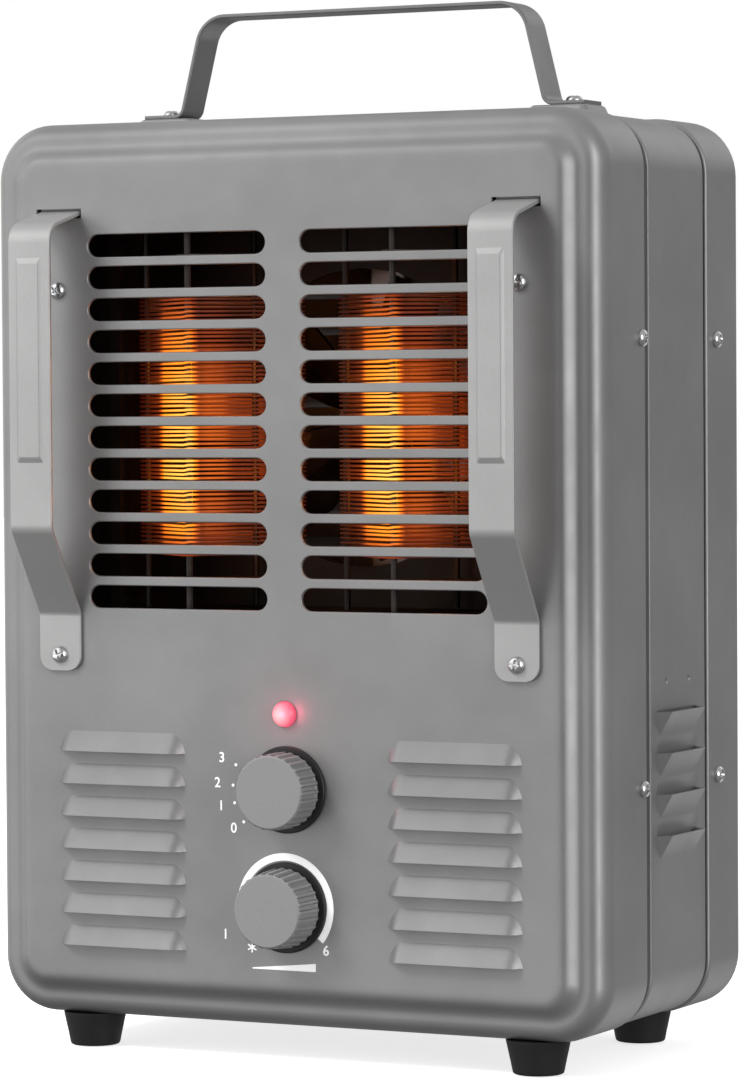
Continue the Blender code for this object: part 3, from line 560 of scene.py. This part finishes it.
scoops, scoop_voids, troughs = bmesh.new(), bmesh.new(), bmesh.new()
for k in range(4):
    zt = 123.4 - 14.4 * k
    for s in (-1, 1):
        rings = []
        for y, out in ((50.0, 0.0), (54.0, 4.6), (83.5, 4.6), (87.5, 0.0)):
            low = zt - 0.3 - 8.3 * out / 4.6
            rings.append([(s * (face - 0.6), y, low), (s * (face - 0.25), y, low), (s * (face + out), y, zt), (s * (face - 0.6), y, zt)])
        add_loft(scoops, rings)
        rings = []
        inside = -0.75 if k else -0.5
        for y, out in ((51.6, 0.0), (55.2, 3.7), (82.3, 3.7), (85.9, 0.0)):
            low = zt - 0.2 - 7.0 * out / 3.7
            shut = max(zt - 1.3, low + 0.1)
            rings.append([(s * (face - 3.6), y, low), (s * (face - 0.35), y, low), (s * (face + out), y, zt + 0.35), (s * (face + inside), y, zt + 0.35),
                          (s * (face + inside - 0.1), y, shut), (s * (face - 3.6), y, shut)])
        add_loft(scoop_voids, rings)
        if not k:
            continue
        # The sheet above each lower lip dips inwards, fading out at both ends.
        rings = []
        for y, deep in ((50.6, 0.02), (51.6, 0.35), (52.8, 0.68), (54.4, 0.92), (56.4, 1.0), (81.2, 1.0), (83.2, 0.92), (84.8, 0.68), (86.0, 0.35), (87.0, 0.02)):
            line = [(0.6, zt - 0.5), (-0.75 * deep, zt - 0.5), (-0.75 * deep, zt + 0.3), (-0.71 * deep, zt + 1.2), (-0.6 * deep, zt + 2.2),
                    (-0.44 * deep, zt + 3.2), (-0.25 * deep, zt + 4.1), (-0.1 * deep, zt + 4.9), (-0.015 * deep, zt + 5.6), (0.6, zt + 5.7)]
            rings.append([(s * (face + x), y, z) for x, z in line])
        add_loft(troughs, rings)
combine(wrap, make("troughs", troughs), "DIFFERENCE")
combine(wrap, make("scoops", scoops), "UNION")
combine(wrap, make("scoop_voids", scoop_voids), "DIFFERENCE")
combine(wrap, make("seat_voids", seat_voids), "DIFFERENCE")
HANDLE_SCREWS = [(-81.5, 67.5), (81.5, 67.5)]
cuts = bmesh.new()
for s, y, z in SIDE_SCREWS:
    add_turned(cuts, "x", y, z, [(s * 112.0, 2.0), (s * 124.0, 2.0)], 16)
for x, y in HANDLE_SCREWS:
    add_turned(cuts, "z", x, y, [(331.5, 2.1), (338.0, 2.1)], 16)
for s in (-1, 1):
    for y in (59.0, 79.0):
        add_turned(cuts, "x", y, 133.5, [(s * (face - 0.5), 0.7), (s * (face - 0.3), 1.15), (s * (face + 0.2), 1.5)], 16)
combine(wrap, make("wrap_cuts", cuts), "DIFFERENCE")
settle(wrap, "case", CASE, ["middle_wrap"], angle=30.0)

# ------------------------------------------------------------------ rear cover
R_OUT = [(0.95, 95.6), (0.6, 95.72), (0.28, 95.98), (0.08, 96.35), (0.0, 96.9), (0.0, 122.0), (0.06, 122.75), (0.27, 123.45), (0.62, 124.05), (1.1, 124.5), (1.7, 124.83), (2.3, 124.97), (3.0, 125.0)]
R_IN = [(1.2, 94.0), (1.2, 122.0), (1.5, 123.0), (2.2, 123.6), (3.2, 123.8)]
cover = loft("rear_cover_vis", [case_ring(d, y) for d, y in R_OUT])
combine(cover, loft("void", [case_ring(d, y) for d, y in R_IN]), "DIFFERENCE")
FAN_Z = 226.0
CORD_X, CORD_Z = -74.0, 44.0
BACK = 125.0


def rear_hood(s, p, h):
    back = BACK - 0.3 + (p + 0.3) * s
    out = [(BACK - 0.7, 0.0), (back, 0.0)]
    for t, q in ((0.03, 0.985), (0.10, 0.93), (0.25, 0.80), (0.45, 0.605), (0.65, 0.40), (0.82, 0.215), (0.93, 0.085)):
        out.append((BACK - 0.3 + (back - BACK + 0.3) * q, 1.06 * h * t))
    return out + [(BACK - 0.3, 1.06 * h), (BACK - 0.7, 1.06 * h)]


def rear_void(s, p, h):
    back = BACK - 0.35 + (p - 0.55) * s
    step, rise = min(BACK + 0.02, back - 0.12), min(0.9, 0.30 * h)
    out = [(BACK - 2.4, rise), (step, rise), (step, -0.35), (back, -0.35)]
    for t, q in ((0.25, 0.78), (0.5, 0.53), (0.75, 0.27)):
        out.append((BACK - 0.35 + (back - BACK + 0.35) * q, max(0.80 * h * t, rise * t * 1.05)))
    return out + [(BACK - 0.35 - 0.13, 0.80 * h), (BACK - 2.4, 0.80 * h)]


hoods, voids = bmesh.new(), bmesh.new()
for k in range(9):
    zb = 269.5 - 13.6 * k
    for x0, x1 in ((-78.0, -5.0), (5.0, 78.0)):
        for bm, ends, line in ((hoods, OUT_END, rear_hood), (voids, IN_END, rear_void)):
            steps = [(x0 + d, q, h) for d, q, h in ends] + [(x1 - d, q, h) for d, q, h in reversed(ends)]
            add_loft(bm, [[(x, y, zb + z) for y, z in line(q, 3.4, 8.0 * h)] for x, q, h in steps])
combine(cover, make("rear_hoods", hoods), "UNION")
combine(cover, make("rear_voids", voids), "DIFFERENCE")
cuts = bmesh.new()
for x in (-40.0, -20.0, 0.0, 20.0, 40.0):
    add_slot(cuts, x - 8.0, x + 8.0, 89.5, 94.5, 125.0, 121.2, 8, 0.45, -1.0)
add_turned(cuts, "y", CORD_X, CORD_Z, [(122.0, 7.2), (127.0, 7.2)], 24)
for s, y, z in SIDE_SCREWS:
    if y > 60:
        add_turned(cuts, "x", y, z, [(s * 112.0, 2.0), (s * 124.0, 2.0)], 16)
combine(cover, make("rear_cuts", cuts), "DIFFERENCE")
settle(cover, "case", CASE, ["rear_cover"])

gland = turned("cord_gland_vis", "y", CORD_X, CORD_Z, [
    (116.2, 9.4), (116.6, 9.6), (123.5, 9.6), (123.5, 6.9), (125.2, 6.9), (125.2, 9.0), (125.6, 9.25), (126.8, 9.1), (127.5, 8.7), (128.1, 7.9), (128.5, 6.9),
    (128.6, 5.4), (128.3, 4.3), (127.6, 3.8), (116.2, 3.8)], 40, loop=True)
settle(gland, "case", BLACK, ["cord_gland"], angle=50.0)

# ------------------------------------------------------------------ front guards
for side, s in (("left", -1), ("right", 1)):
    c = s * GUARD_X
    line = fillet_path([(2.4, 306.4), (2.4, 299.9), (-20.3, 293.9), (-20.3, 187.4), (-0.85, 156.8), (-0.85, 136.4)], [1.6, 7.0, 6.0, 4.0], 10)
    nrm = normals_of(line)
    hw, t = 8.45, 0.7
    # Cross-section with small rolled edges, from the front face round to the back.
    sect = []
    for cx, sx in ((hw - 0.45, 1), (-hw + 0.45, -1)):
        arc = [(cx + sx * 0.45 * math.sin(a), a) for a in ()]
    prof = []
    for k in range(5):
        a = math.radians(90.0 * k / 4)
        prof.append((hw - 0.45 + 0.45 * math.sin(a), t - 0.45 + 0.45 * math.cos(a)))
    prof += [(hw - 0.3 + 0.3 * math.cos(a), -t + 0.3 - 0.3 * math.sin(a)) for a in (math.radians(v) for v in (0, 45, 90))]
    full = prof + [(-x, y) for x, y in reversed(prof)]
    rings = []
    count = len(line)
    ends = {count - 1: None}
    for k in range(count):
        n, g = nrm[k]
        # the outside (front) of the strap is on the right of the path as it runs down
        rings.append([(c + x, line[k][0] - n.x * y * g, line[k][1] - n.y * y * g) for x, y in full])
    last = rings.pop()
    for drop in (5.0, 3.8, 2.7, 1.8, 1.0, 0.4, 0.0):
        half = hw - 5.0 + math.sqrt(max(25.0 - (5.0 - drop) ** 2, 0.0)) if drop < 5.0 else hw
        k = max(half, 3.6) / hw
        rings.append([(c + (x - c) * k, y, z + drop) for x, y, z in last])
    strap = loft("guard_%s_vis" % side, rings)
    pad = []
    for y, across, along in ((-20.5, 5.3, 36.25), (-20.97, 5.3, 36.25), (-21.04, 5.22, 36.1), (-21.68, 4.3, 34.5), (-21.77, 4.1, 34.25), (-21.8, 3.85, 34.0)):
        pad.append(rounded(c - across, c + across, 247.1 - along, 247.1 + along, 0.7, y, 4))
    combine(strap, loft("pad", pad), "UNION")
    combine(strap, turned("hole", "y", c, 142.1, [(-3.0, 2.0), (1.0, 2.0)], 16), "DIFFERENCE")
    settle(strap, "case", GUARD, ["guard_" + side], angle=22.0)

# ------------------------------------------------------------------ bail handle
half_line = fillet_path([(-88.6, 336.6), (-73.3, 336.6), (-64.3, 372.6), (0.0, 372.6)], [3.6, 11.4], 12)
line = half_line[:-1] + [(-x, z) for x, z in reversed(half_line[:-1])]
nrm = normals_of(line)
sect = []
for sy, sz in ((1, 1), (1, -1), (-1, -1), (-1, 1)):
    order = (0, 1, 2, 3) if sy * sz > 0 else (3, 2, 1, 0)
    for k in order:
        a = math.radians(90.0 * k / 3)
        sect.append((sy * (7.5 - 0.4 + 0.4 * math.sin(a)), sz * (0.7 - 0.4 + 0.4 * math.cos(a))))
rings = []
for k in range(len(line)):
    n, g = nrm[k]
    rings.append([(line[k][0] + n.x * z * g, 67.5 + y, line[k][1] + n.y * z * g) for y, z in sect])
bail = loft("handle_vis", rings)
cuts = bmesh.new()
for x, y in HANDLE_SCREWS:
    add_turned(cuts, "z", x, y, [(334.0, 2.1), (339.0, 2.1)], 16)
combine(bail, make("handle_cuts", cuts), "DIFFERENCE")
settle(bail, "case", BAIL, ["handle"], angle=40.0)

# ------------------------------------------------------------------ feet
for name, x, y in FEET:
    foot = turned("foot_%s_vis" % name, "z", x, y, [
        (0.0, 8.3), (0.15, 8.65), (0.6, 8.95), (1.2, 9.1), (4.0, 9.65), (10.2, 11.0), (11.0, 11.2), (11.5, 11.3), (12.0, 11.3), (12.1, 11.1), (12.1, 2.3), (6.0, 2.3),
        (6.0, 4.8), (5.8, 5.0), (0.4, 5.0), (0.0, 5.4)], 40, loop=True)
    settle(foot, "case", RUBBER, ["foot_" + name], angle=50.0)


# ------------------------------------------------------------------ screws
def screw_mesh(name, head, high, length):
    """Pan head with a cross recess, pointing along +Z with its seat at z = 0."""
    bm = bmesh.new()
    prof = [(-length, 0.9), (-length + 0.6, 1.5), (0.06, 1.5), (0.06, head * 0.97), (0.22, head)]
    for k in range(1, 8):
        a = math.radians(90.0 * k / 8)
        prof.append((0.22 + (high - 0.22) * math.sin(a), head * (0.35 + 0.65 * math.cos(a)) if k < 7 else head * 0.42))
    rows = [[bm.verts.new(Vector((r * math.cos(2 * math.pi * i / 28), r * math.sin(2 * math.pi * i / 28), z)) * MM) for i in range(28)] for z, r in prof]
    for a, b in zip(rows, rows[1:]):
        for i in range(28):
            j = (i + 1) % 28
            bm.faces.new((a[i], a[j], b[j], b[i]))
    bm.faces.new(rows[0][::-1])
    bm.faces.new(rows[-1])
    ob = make(name, bm)
    for turn in (0, 1):
        cross = bmesh.new()
        w, l = 0.42, head * 0.62
        if turn:
            w, l = l, w
        top = [(-w, -l), (w, -l), (w, l), (-w, l)]
        low = [(x * 0.55, y * 0.55) for x, y in top]
        rows = [[cross.verts.new(Vector((x, y, z)) * MM) for x, y in pts] for z, pts in ((high + 0.5, top), (high - 0.25, top), (high - 1.25, low))]
        for a, b in zip(rows, rows[1:]):
            for i in range(4):
                j = (i + 1) % 4
                cross.faces.new((a[i], a[j], b[j], b[i]))
        cross.faces.new(rows[0][::-1])
        cross.faces.new(rows[-1])
        combine(ob, make("cross", cross), "DIFFERENCE")
    return ob


def place_screw(template, node, where, facing, spin):
    mesh = template.data.copy()
    z = Vector(facing)
    x = Vector((0, 0, 1)).cross(z) if abs(z.z) < 0.9 else Vector((1, 0, 0))
    x.normalize()
    y = z.cross(x)
    rot = Matrix((x, y, z)).transposed().to_4x4() @ Matrix.Rotation(spin, 4, "Z")
    mesh.transform(Matrix.Translation(pt(*where)) @ rot)
    ob = bpy.data.objects.new(node + "_vis", mesh)
    bpy.context.scene.collection.objects.link(ob)
    settle(ob, "case", CHROME, [node], angle=38.0)


small = screw_mesh("screw_small", 3.1, 2.0, 7.0)
large = screw_mesh("screw_large", 4.0, 2.4, 12.0)
for i, (s, y, z) in enumerate(SIDE_SCREWS):
    node = "screw_side_%s_%s_%s" % ("right" if s > 0 else "left", "front" if y < 60 else "rear", "upper" if z > 150 else "lower")
    place_screw(small, node, (s * HX, y, z), (s, 0, 0), 0.5 + 1.3 * i)
for side, s in (("left", -1), ("right", 1)):
    place_screw(small, "screw_panel_" + side, (s * 90.8, 0.0, 272.1), (0, -1, 0), 0.3 + s)
    place_screw(small, "screw_guard_" + side, (s * GUARD_X, -1.56, 142.1), (0, -1, 0), 0.9 + 0.5 * s)
    place_screw(small, "screw_handle_" + side, (s * 81.5, 67.5, 337.3), (0, 0, 1), 0.4)
for name, x, y in FEET:
    place_screw(large, "screw_foot_" + name, (x, y, 6.0), (0, 0, -1), 0.7)
bpy.data.objects.remove(small, do_unlink=True)
bpy.data.objects.remove(large, do_unlink=True)


# ------------------------------------------------------------------ knobs
SELECTOR = (0.7, 96.5)
THERMOSTAT = (0.0, 55.2)


def knob(name, at, back, front, base, node, body):
    teeth, per = 28, 14
    n = teeth * per

    def ring(y, r, depth):
        out = []
        for k in range(n):
            a = 2 * math.pi * k / n
            w = min(max((math.cos(teeth * a) - 0.05) / 0.50, 0.0), 1.0)
            w = w * w * (3 - 2 * w)
            rr = r - depth * (1.0 - w)
            out.append((at[0] + rr * math.cos(a), y, at[1] + rr * math.sin(a)))
        return out

    rings = [ring(back, 4.6, 0.0), ring(back, base - 0.5, 0.0), ring(back - 0.15, base - 0.1, 0.7), ring(back - 0.5, base, 1.15)]
    for k in range(1, 5):
        rings.append(ring(back - 0.5 + (front + 1.35 - back + 0.5) * k / 4.0, base + (13.25 - base) * k / 4.0, 1.15))
    for dy, r, d in ((1.1, 13.22, 1.1), (0.9, 13.15, 0.8), (0.75, 13.0, 0.35), (0.62, 12.85, 0.0), (0.18, 12.52, 0.0), (0.05, 12.4, 0.0), (0.0, 12.2, 0.0), (0.0, 6.0, 0.0)):
        rings.append(ring(front + dy, r, d))
    ob = loft(name, rings)
    settle(ob, body, KNOB, [node], angle=32.0)


knob("selector_knob_vis", SELECTOR, -1.9, -14.3, 13.5, "selector_knob", "selector")
knob("thermostat_knob_vis", THERMOSTAT, -1.9, -14.9, 14.1, "thermostat_knob", "thermostat")
skirt = turned("selector_skirt_vis", "y", SELECTOR[0], SELECTOR[1], [(-0.35, 15.1), (-0.5, 15.3), (-1.1, 15.3), (-1.4, 15.15), (-1.6, 14.8), (-1.6, 5.0), (-0.35, 5.0)], 96, loop=True)
settle(skirt, "selector", BLACK, ["selector_skirt"])
skirt = turned("thermostat_skirt_vis", "y", THERMOSTAT[0], THERMOSTAT[1], [(-0.35, 15.8), (-0.5, 16.0), (-0.95, 16.0), (-1.25, 15.8), (-1.5, 15.4), (-1.5, 5.0), (-0.35, 5.0)], 96, loop=True)
settle(skirt, "thermostat", BLACK, ["thermostat_skirt"])


# ------------------------------------------------------------------ printed marks
def print_mark(name, outline_sets):
    """Thin raised ink from flat outlines in the panel plane, as one piece."""
    bm = bmesh.new()
    for line in outline_sets:
        add_loft(bm, [[(x, y, z) for x, z in line] for y in (-0.02, -0.10)])
    ob = make(name, bm)
    settle(ob, "case", PRINT_AND_PAINTED_GLOW, [], angle=30.0, weighted=False)
    return ob


def bar(x0, z0, x1, z1, w):
    d = Vector((x1 - x0, z1 - z0)).normalized() * (w / 2)
    n = Vector((-d.y, d.x))
    return [(x0 + n.x, z0 + n.y), (x0 - n.x, z0 - n.y), (x1 - n.x, z1 - n.y), (x1 + n.x, z1 + n.y)]


def digits(name, items, size):
    """Generic dial numbers: (text, x centre, z centre)."""
    parts = []
    for text, x, z in items:
        cu = bpy.data.curves.new(name, "FONT")
        cu.body = text
        cu.size = size * MM
        cu.align_x, cu.align_y = "CENTER", "CENTER"
        cu.extrude = 0.04 * MM
        cu.offset = 0.07 * MM
        cu.resolution_u = 4
        ob = bpy.data.objects.new(name, cu)
        bpy.context.scene.collection.objects.link(ob)
        bpy.context.view_layer.update()
        mesh = bpy.data.meshes.new_from_object(ob.evaluated_get(bpy.context.evaluated_depsgraph_get()))
        bpy.data.objects.remove(ob, do_unlink=True)
        mesh.transform(Matrix.Translation(pt(x, -0.06, z)) @ Matrix.Rotation(math.radians(90), 4, "X"))
        parts.append(mesh)
    bm = bmesh.new()
    for mesh in parts:
        bm.from_mesh(mesh)
    ob = make(name, bm)
    settle(ob, "case", PRINT_AND_PAINTED_GLOW, [], angle=30.0, weighted=False)


digits("selector_numbers", [("3", -25.2, 106.9), ("2", -27.0, 98.0), ("1", -25.6, 89.9), ("0", -20.6, 82.2)], 5.0)


def disc(x, z, r, n=20):
    return [(x + r * math.cos(2 * math.pi * k / n), z + r * math.sin(2 * math.pi * k / n)) for k in range(n)]


print_mark("selector_dots", [disc(-19.6, 104.6, 0.55), disc(-20.8, 97.4, 0.55), disc(-20.2, 91.2, 0.55), disc(-16.6, 84.6, 0.55)])
arc = bmesh.new()
ARC_X = -0.35
sweep = [math.radians(-39.0 + 243.0 * k / 120) for k in range(121)]
rows = []
for a in sweep:
    inner, outer = 16.45, 19.0
    rows.append([(ARC_X + r * math.cos(a), y, THERMOSTAT[1] + r * math.sin(a)) for r, y in ((inner, -0.02), (outer, -0.02), (outer, -0.10), (inner, -0.10))])
add_loft(arc, rows)
ob = make("thermostat_arc", arc)
settle(ob, "case", PRINT_AND_PAINTED_GLOW, [], angle=30.0, weighted=False)
digits("thermostat_numbers", [("1", -24.2, 44.6), ("6", 15.6, 40.6)], 5.0)


def star(x, z, r, w, arms=6):
    """A plain frost star as one outline."""
    out = []
    for k in range(arms):
        a = math.pi / 2 + 2 * math.pi * k / arms
        inner = w / (2 * math.sin(math.pi / arms))
        for da, rr in ((-w / (2 * r), r), (w / (2 * r), r), (math.pi / arms, inner)):
            out.append((x + rr * math.cos(a + da), z + rr * math.sin(a + da)))
    return out


print_mark("frost_mark", [star(-13.6, 40.6, 1.9, 0.5)])
# A plain wedge, thin at the low end and thick at the high end, under the thermostat knob.
print_mark("heat_wedge", [[(-13.5, 33.1), (11.5, 33.1), (11.5, 35.9), (-13.5, 33.5)]])

# ------------------------------------------------------------------ indicator lamp
lens_mat, nt, b = base("lens_glow")
co = nt.nodes.new("ShaderNodeTexCoord")
vd = nt.nodes.new("ShaderNodeVectorMath")
vd.operation = "DISTANCE"
vd.inputs[1].default_value = pt(-0.6, -1.2, 122.7)
nt.links.new(co.outputs["Object"], vd.inputs[0])
reach = nt.nodes.new("ShaderNodeMapRange")
reach.inputs["From Min"].default_value = 0.0008
reach.inputs["From Max"].default_value = 0.0056
nt.links.new(vd.outputs["Value"], reach.inputs["Value"])
glow = ramp(nt, reach.outputs["Result"], [(0.0, (1.0, 0.80, 0.72)), (0.25, (1.0, 0.66, 0.60)), (0.5, (0.98, 0.34, 0.38)), (0.75, (0.70, 0.10, 0.18)), (1.0, (0.32, 0.03, 0.08))])
nt.links.new(glow.outputs["Color"], b.inputs["Emission Color"])
b.inputs["Emission Strength"].default_value = 0.85
nz = noise(nt, 700.0)
facet = ramp(nt, nz.outputs["Fac"], [(0.3, (0.62, 0.07, 0.10)), (0.7, (0.78, 0.11, 0.14))])
nt.links.new(facet.outputs["Color"], b.inputs["Base Color"])
nt.links.new(spread(nt, nz.outputs["Fac"], 0.12, 0.2), b.inputs["Roughness"])
prof = [(8.0, 4.0), (7.8, 4.45), (2.4, 4.45), (2.4, 6.2), (1.4, 6.2), (1.4, 4.45), (-0.6, 4.45)]
for k in range(1, 9):
    a = math.radians(90.0 * k / 8.6)
    prof.append((-0.6 - 2.7 * math.sin(a), 4.45 * math.cos(a)))
lens = turned("indicator_lens_vis", "y", 0.0, 122.9, prof, 40)
settle(lens, "case", lens_mat, ["indicator_lens"], angle=50.0)

lamp_mat, nt, b = base("lamp_glow")
nz = noise(nt, 500.0)
hot = ramp(nt, nz.outputs["Fac"], [(0.3, (1.0, 0.45, 0.25)), (0.7, (1.0, 0.62, 0.4))])
nt.links.new(hot.outputs["Color"], b.inputs["Emission Color"])
b.inputs["Emission Strength"].default_value = 2.0

# ------------------------------------------------------------------ heating elements
EL_Y = 30.0
CORNERS = [(-32.95, 1.1), (-32.95, -1.1), (-1.1, -26.75), (1.1, -26.75), (32.95, -1.1), (32.95, 1.1), (1.1, 26.75), (-1.1, 26.75)]
for side, cx in (("left", -40.5), ("right", 40.5)):
    turns, z0, z1 = 62, 177.5, 271.0
    total = turns * 8
    path = []
    for k in range(total + 1):
        x, y = CORNERS[k % 8]
        wob = 0.16 * math.sin(k * 1.7) + 0.10 * math.sin(k * 0.61 + 1.0)
        path.append(Vector((cx + x, EL_Y + y, z0 + (z1 - z0) * k / total + wob)))
    rings = []
    for k, p in enumerate(path):
        a, c = path[max(k - 1, 0)], path[min(k + 1, total)]
        d1 = (p - a).normalized() if k else (c - p).normalized()
        d2 = (c - p).normalized() if k < total else d1
        t = (d1 + d2).normalized()
        out = t.cross(Vector((0, 0, 1))).normalized()
        upv = out.cross(t).normalized()
        g = 1.0 / max(t.dot(d1), 0.6)
        rings.append([tuple(p + out * (0.38 * math.cos(q) * g) + upv * (0.40 * math.sin(q))) for q in (0.0, 1.2566, 2.5133, 3.7699, 5.0265)])
    coil = loft("heating_coil_%s_vis" % side, rings)
    settle(coil, "case", glow_wire("hot_wire_" + side, cx), ["heating_coil_" + side], angle=80.0, weighted=False)

# ------------------------------------------------------------------ CAD nodes that keep their shape get finishes
FINISH = {
    "selector_shaft": PLATED, "thermostat_shaft": PLATED, "thermostat_body": PLATED, "heater_duct": DARK, "fan_plate": DARK, "motor_mount": PLATED,
    "motor_rear_bracket": PLATED, "motor_rotor": LAMIN, "motor_stator": LAMIN, "fan_shaft": PLATED, "tip_pin": PLATED, "tip_pendulum": PLATED,
    "thermal_cutout": PLATED, "element_frame_left": ROD, "element_frame_right": ROD, "impeller": FAN, "motor_winding": COPPER,
    "selector_switch": BLACK, "terminal_block": BLACK, "tip_switch_body": BLACK, "indicator_lamp": lamp_mat,
}
for name, mat in FINISH.items():
    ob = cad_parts[name]
    if len(ob.material_slots):
        for slot in ob.material_slots:
            slot.material = mat
    else:
        ob.data.materials.append(mat)

# ------------------------------------------------------------------ floor, lights and surroundings
bm = bmesh.new()
for x, y in ((-6, -6), (6, -6), (6, 6), (-6, 6)):
    bm.verts.new((x, y, -0.0004))
bm.faces.new(bm.verts)
floor_mesh = bpy.data.meshes.new("floor")
bm.to_mesh(floor_mesh)
bm.free()
floor = bpy.data.objects.new("floor", floor_mesh)
bpy.context.scene.collection.objects.link(floor)
fmat, nt, b = base("floor_white")
nz = noise(nt, 3.0)
fc = ramp(nt, nz.outputs["Fac"], [(0.3, (0.80, 0.80, 0.80)), (0.7, (0.82, 0.82, 0.82))])
nt.links.new(fc.outputs["Color"], b.inputs["Base Color"])
b.inputs["Roughness"].default_value = 0.9
b.inputs["Emission Color"].default_value = (1.0, 1.0, 1.0, 1.0)
b.inputs["Emission Strength"].default_value = 0.72
floor.data.materials.append(fmat)
floor.visible_diffuse = False
floor.visible_glossy = False
floor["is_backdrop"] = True

world = bpy.data.worlds.new("studio")
bpy.context.scene.world = world
world.use_nodes = True
nt = world.node_tree
bg = nt.nodes["Background"]
co = nt.nodes.new("ShaderNodeTexCoord")
sp = nt.nodes.new("ShaderNodeSeparateXYZ")
nt.links.new(co.outputs["Generated"], sp.inputs["Vector"])
# Soft surroundings: bright above, dim below, a wide soft box to the right and a dark gap round the viewpoint.
way = nt.nodes.new("ShaderNodeVectorMath")
way.operation = "NORMALIZE"
nt.links.new(co.outputs["Generated"], way.inputs[0])
half = nt.nodes.new("ShaderNodeMapRange")
half.inputs["From Min"].default_value = -1.0
half.inputs["From Max"].default_value = 1.0
nt.links.new(sp.outputs["Z"], half.inputs["Value"])
tiers = ramp(nt, half.outputs["Result"], [(f, (v, v, v)) for f, v in (
    (0.0, 0.16), (0.10, 0.22), (0.25, 0.24), (0.40, 0.26), (0.46, 0.33), (0.52, 0.42), (0.62, 0.45), (0.80, 0.46), (1.0, 0.46))])
level = tiers.outputs["Color"]


def lobe(level, azimuth, height, inner, outer, gain):
    """Adds a soft patch of light; azimuth runs from straight in front toward the right."""
    a, e = math.radians(azimuth), math.radians(height)
    dot = nt.nodes.new("ShaderNodeVectorMath")
    dot.operation = "DOT_PRODUCT"
    dot.inputs[1].default_value = (math.sin(a) * math.cos(e), -math.cos(a) * math.cos(e), math.sin(e))
    nt.links.new(way.outputs["Vector"], dot.inputs[0])
    soft = nt.nodes.new("ShaderNodeMapRange")
    soft.interpolation_type = "SMOOTHSTEP"
    soft.inputs["From Min"].default_value = math.cos(math.radians(outer))
    soft.inputs["From Max"].default_value = math.cos(math.radians(inner))
    soft.inputs["To Max"].default_value = gain
    nt.links.new(dot.outputs["Value"], soft.inputs["Value"])
    add = nt.nodes.new("ShaderNodeMath")
    add.operation = "ADD"
    nt.links.new(level, add.inputs[0])
    nt.links.new(soft.outputs["Result"], add.inputs[1])
    return add.outputs["Value"]


level = lobe(level, -42.0, 10.0, 10.0, 42.0, 0.80)
level = lobe(level, 62.0, 8.0, 8.0, 31.0, 2.15)
level = lobe(level, -43.0, 46.0, 8.0, 30.0, 0.60)
level = lobe(level, -110.0, 10.0, 12.0, 40.0, 0.60)
level = lobe(level, 166.0, -27.0, 8.0, 26.0, 0.50)
level = lobe(level, 164.0, 26.0, 6.0, 24.0, 0.55)
level = lobe(level, 150.0, 0.0, 6.0, 24.0, -0.10)
level = lobe(level, 10.0, -4.0, 4.0, 22.0, -0.26)
keep = nt.nodes.new("ShaderNodeMath")
keep.operation = "MAXIMUM"
keep.inputs[1].default_value = 0.02
nt.links.new(level, keep.inputs[0])
lp = nt.nodes.new("ShaderNodeLightPath")
mixer = nt.nodes.new("ShaderNodeMix")
mixer.data_type = "FLOAT"
nt.links.new(lp.outputs["Is Camera Ray"], mixer.inputs["Factor"])
nt.links.new(keep.outputs["Value"], mixer.inputs["A"])
mixer.inputs["B"].default_value = 1.0
nt.links.new(mixer.outputs["Result"], bg.inputs["Strength"])
bg.inputs["Color"].default_value = (1.0, 1.0, 1.0, 1.0)


def area(name, where, target, size, size_y, power, col=(1.0, 1.0, 1.0)):
    data = bpy.data.lights.new(name, "AREA")
    data.shape = "RECTANGLE"
    data.size, data.size_y = size, size_y
    data.energy = power
    data.color = col
    ob = bpy.data.objects.new(name, data)
    bpy.context.scene.collection.objects.link(ob)
    ob.location = where
    ob.rotation_euler = (Vector(where) - Vector(target)).to_track_quat("Z", "Y").to_euler()
    ob.visible_camera = False
    return ob


key = area("key_left", (-1.13, -1.45, 1.85), (0, 0, 0.2), 0.75, 0.75, 40.0)
key.visible_glossy = False
area("strip_right", (1.9, -0.95, 0.5), (0, 0, 0.2), 0.4, 1.8, 4.0)


def spark(name, where, power, radius, col):
    data = bpy.data.lights.new(name, "POINT")
    data.energy = power
    data.shadow_soft_size = radius
    data.color = col
    ob = bpy.data.objects.new(name, data)
    bpy.context.scene.collection.objects.link(ob)
    ob.location = where
    ob.visible_camera = False


for cx in (-40.5, 40.5):
    for z in (200.0, 245.0):
        spark("ember_%d_%d" % (cx, z), pt(cx, 30.0, z), 0.018, 0.006, (1.0, 0.30, 0.03))

spark("lamp_halo", pt(0.0, -6.5, 122.9), 0.0028, 0.002, (1.0, 0.10, 0.22))

scene = bpy.context.scene
scene.view_settings.view_transform = "Standard"
scene.view_settings.look = "None"

low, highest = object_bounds()
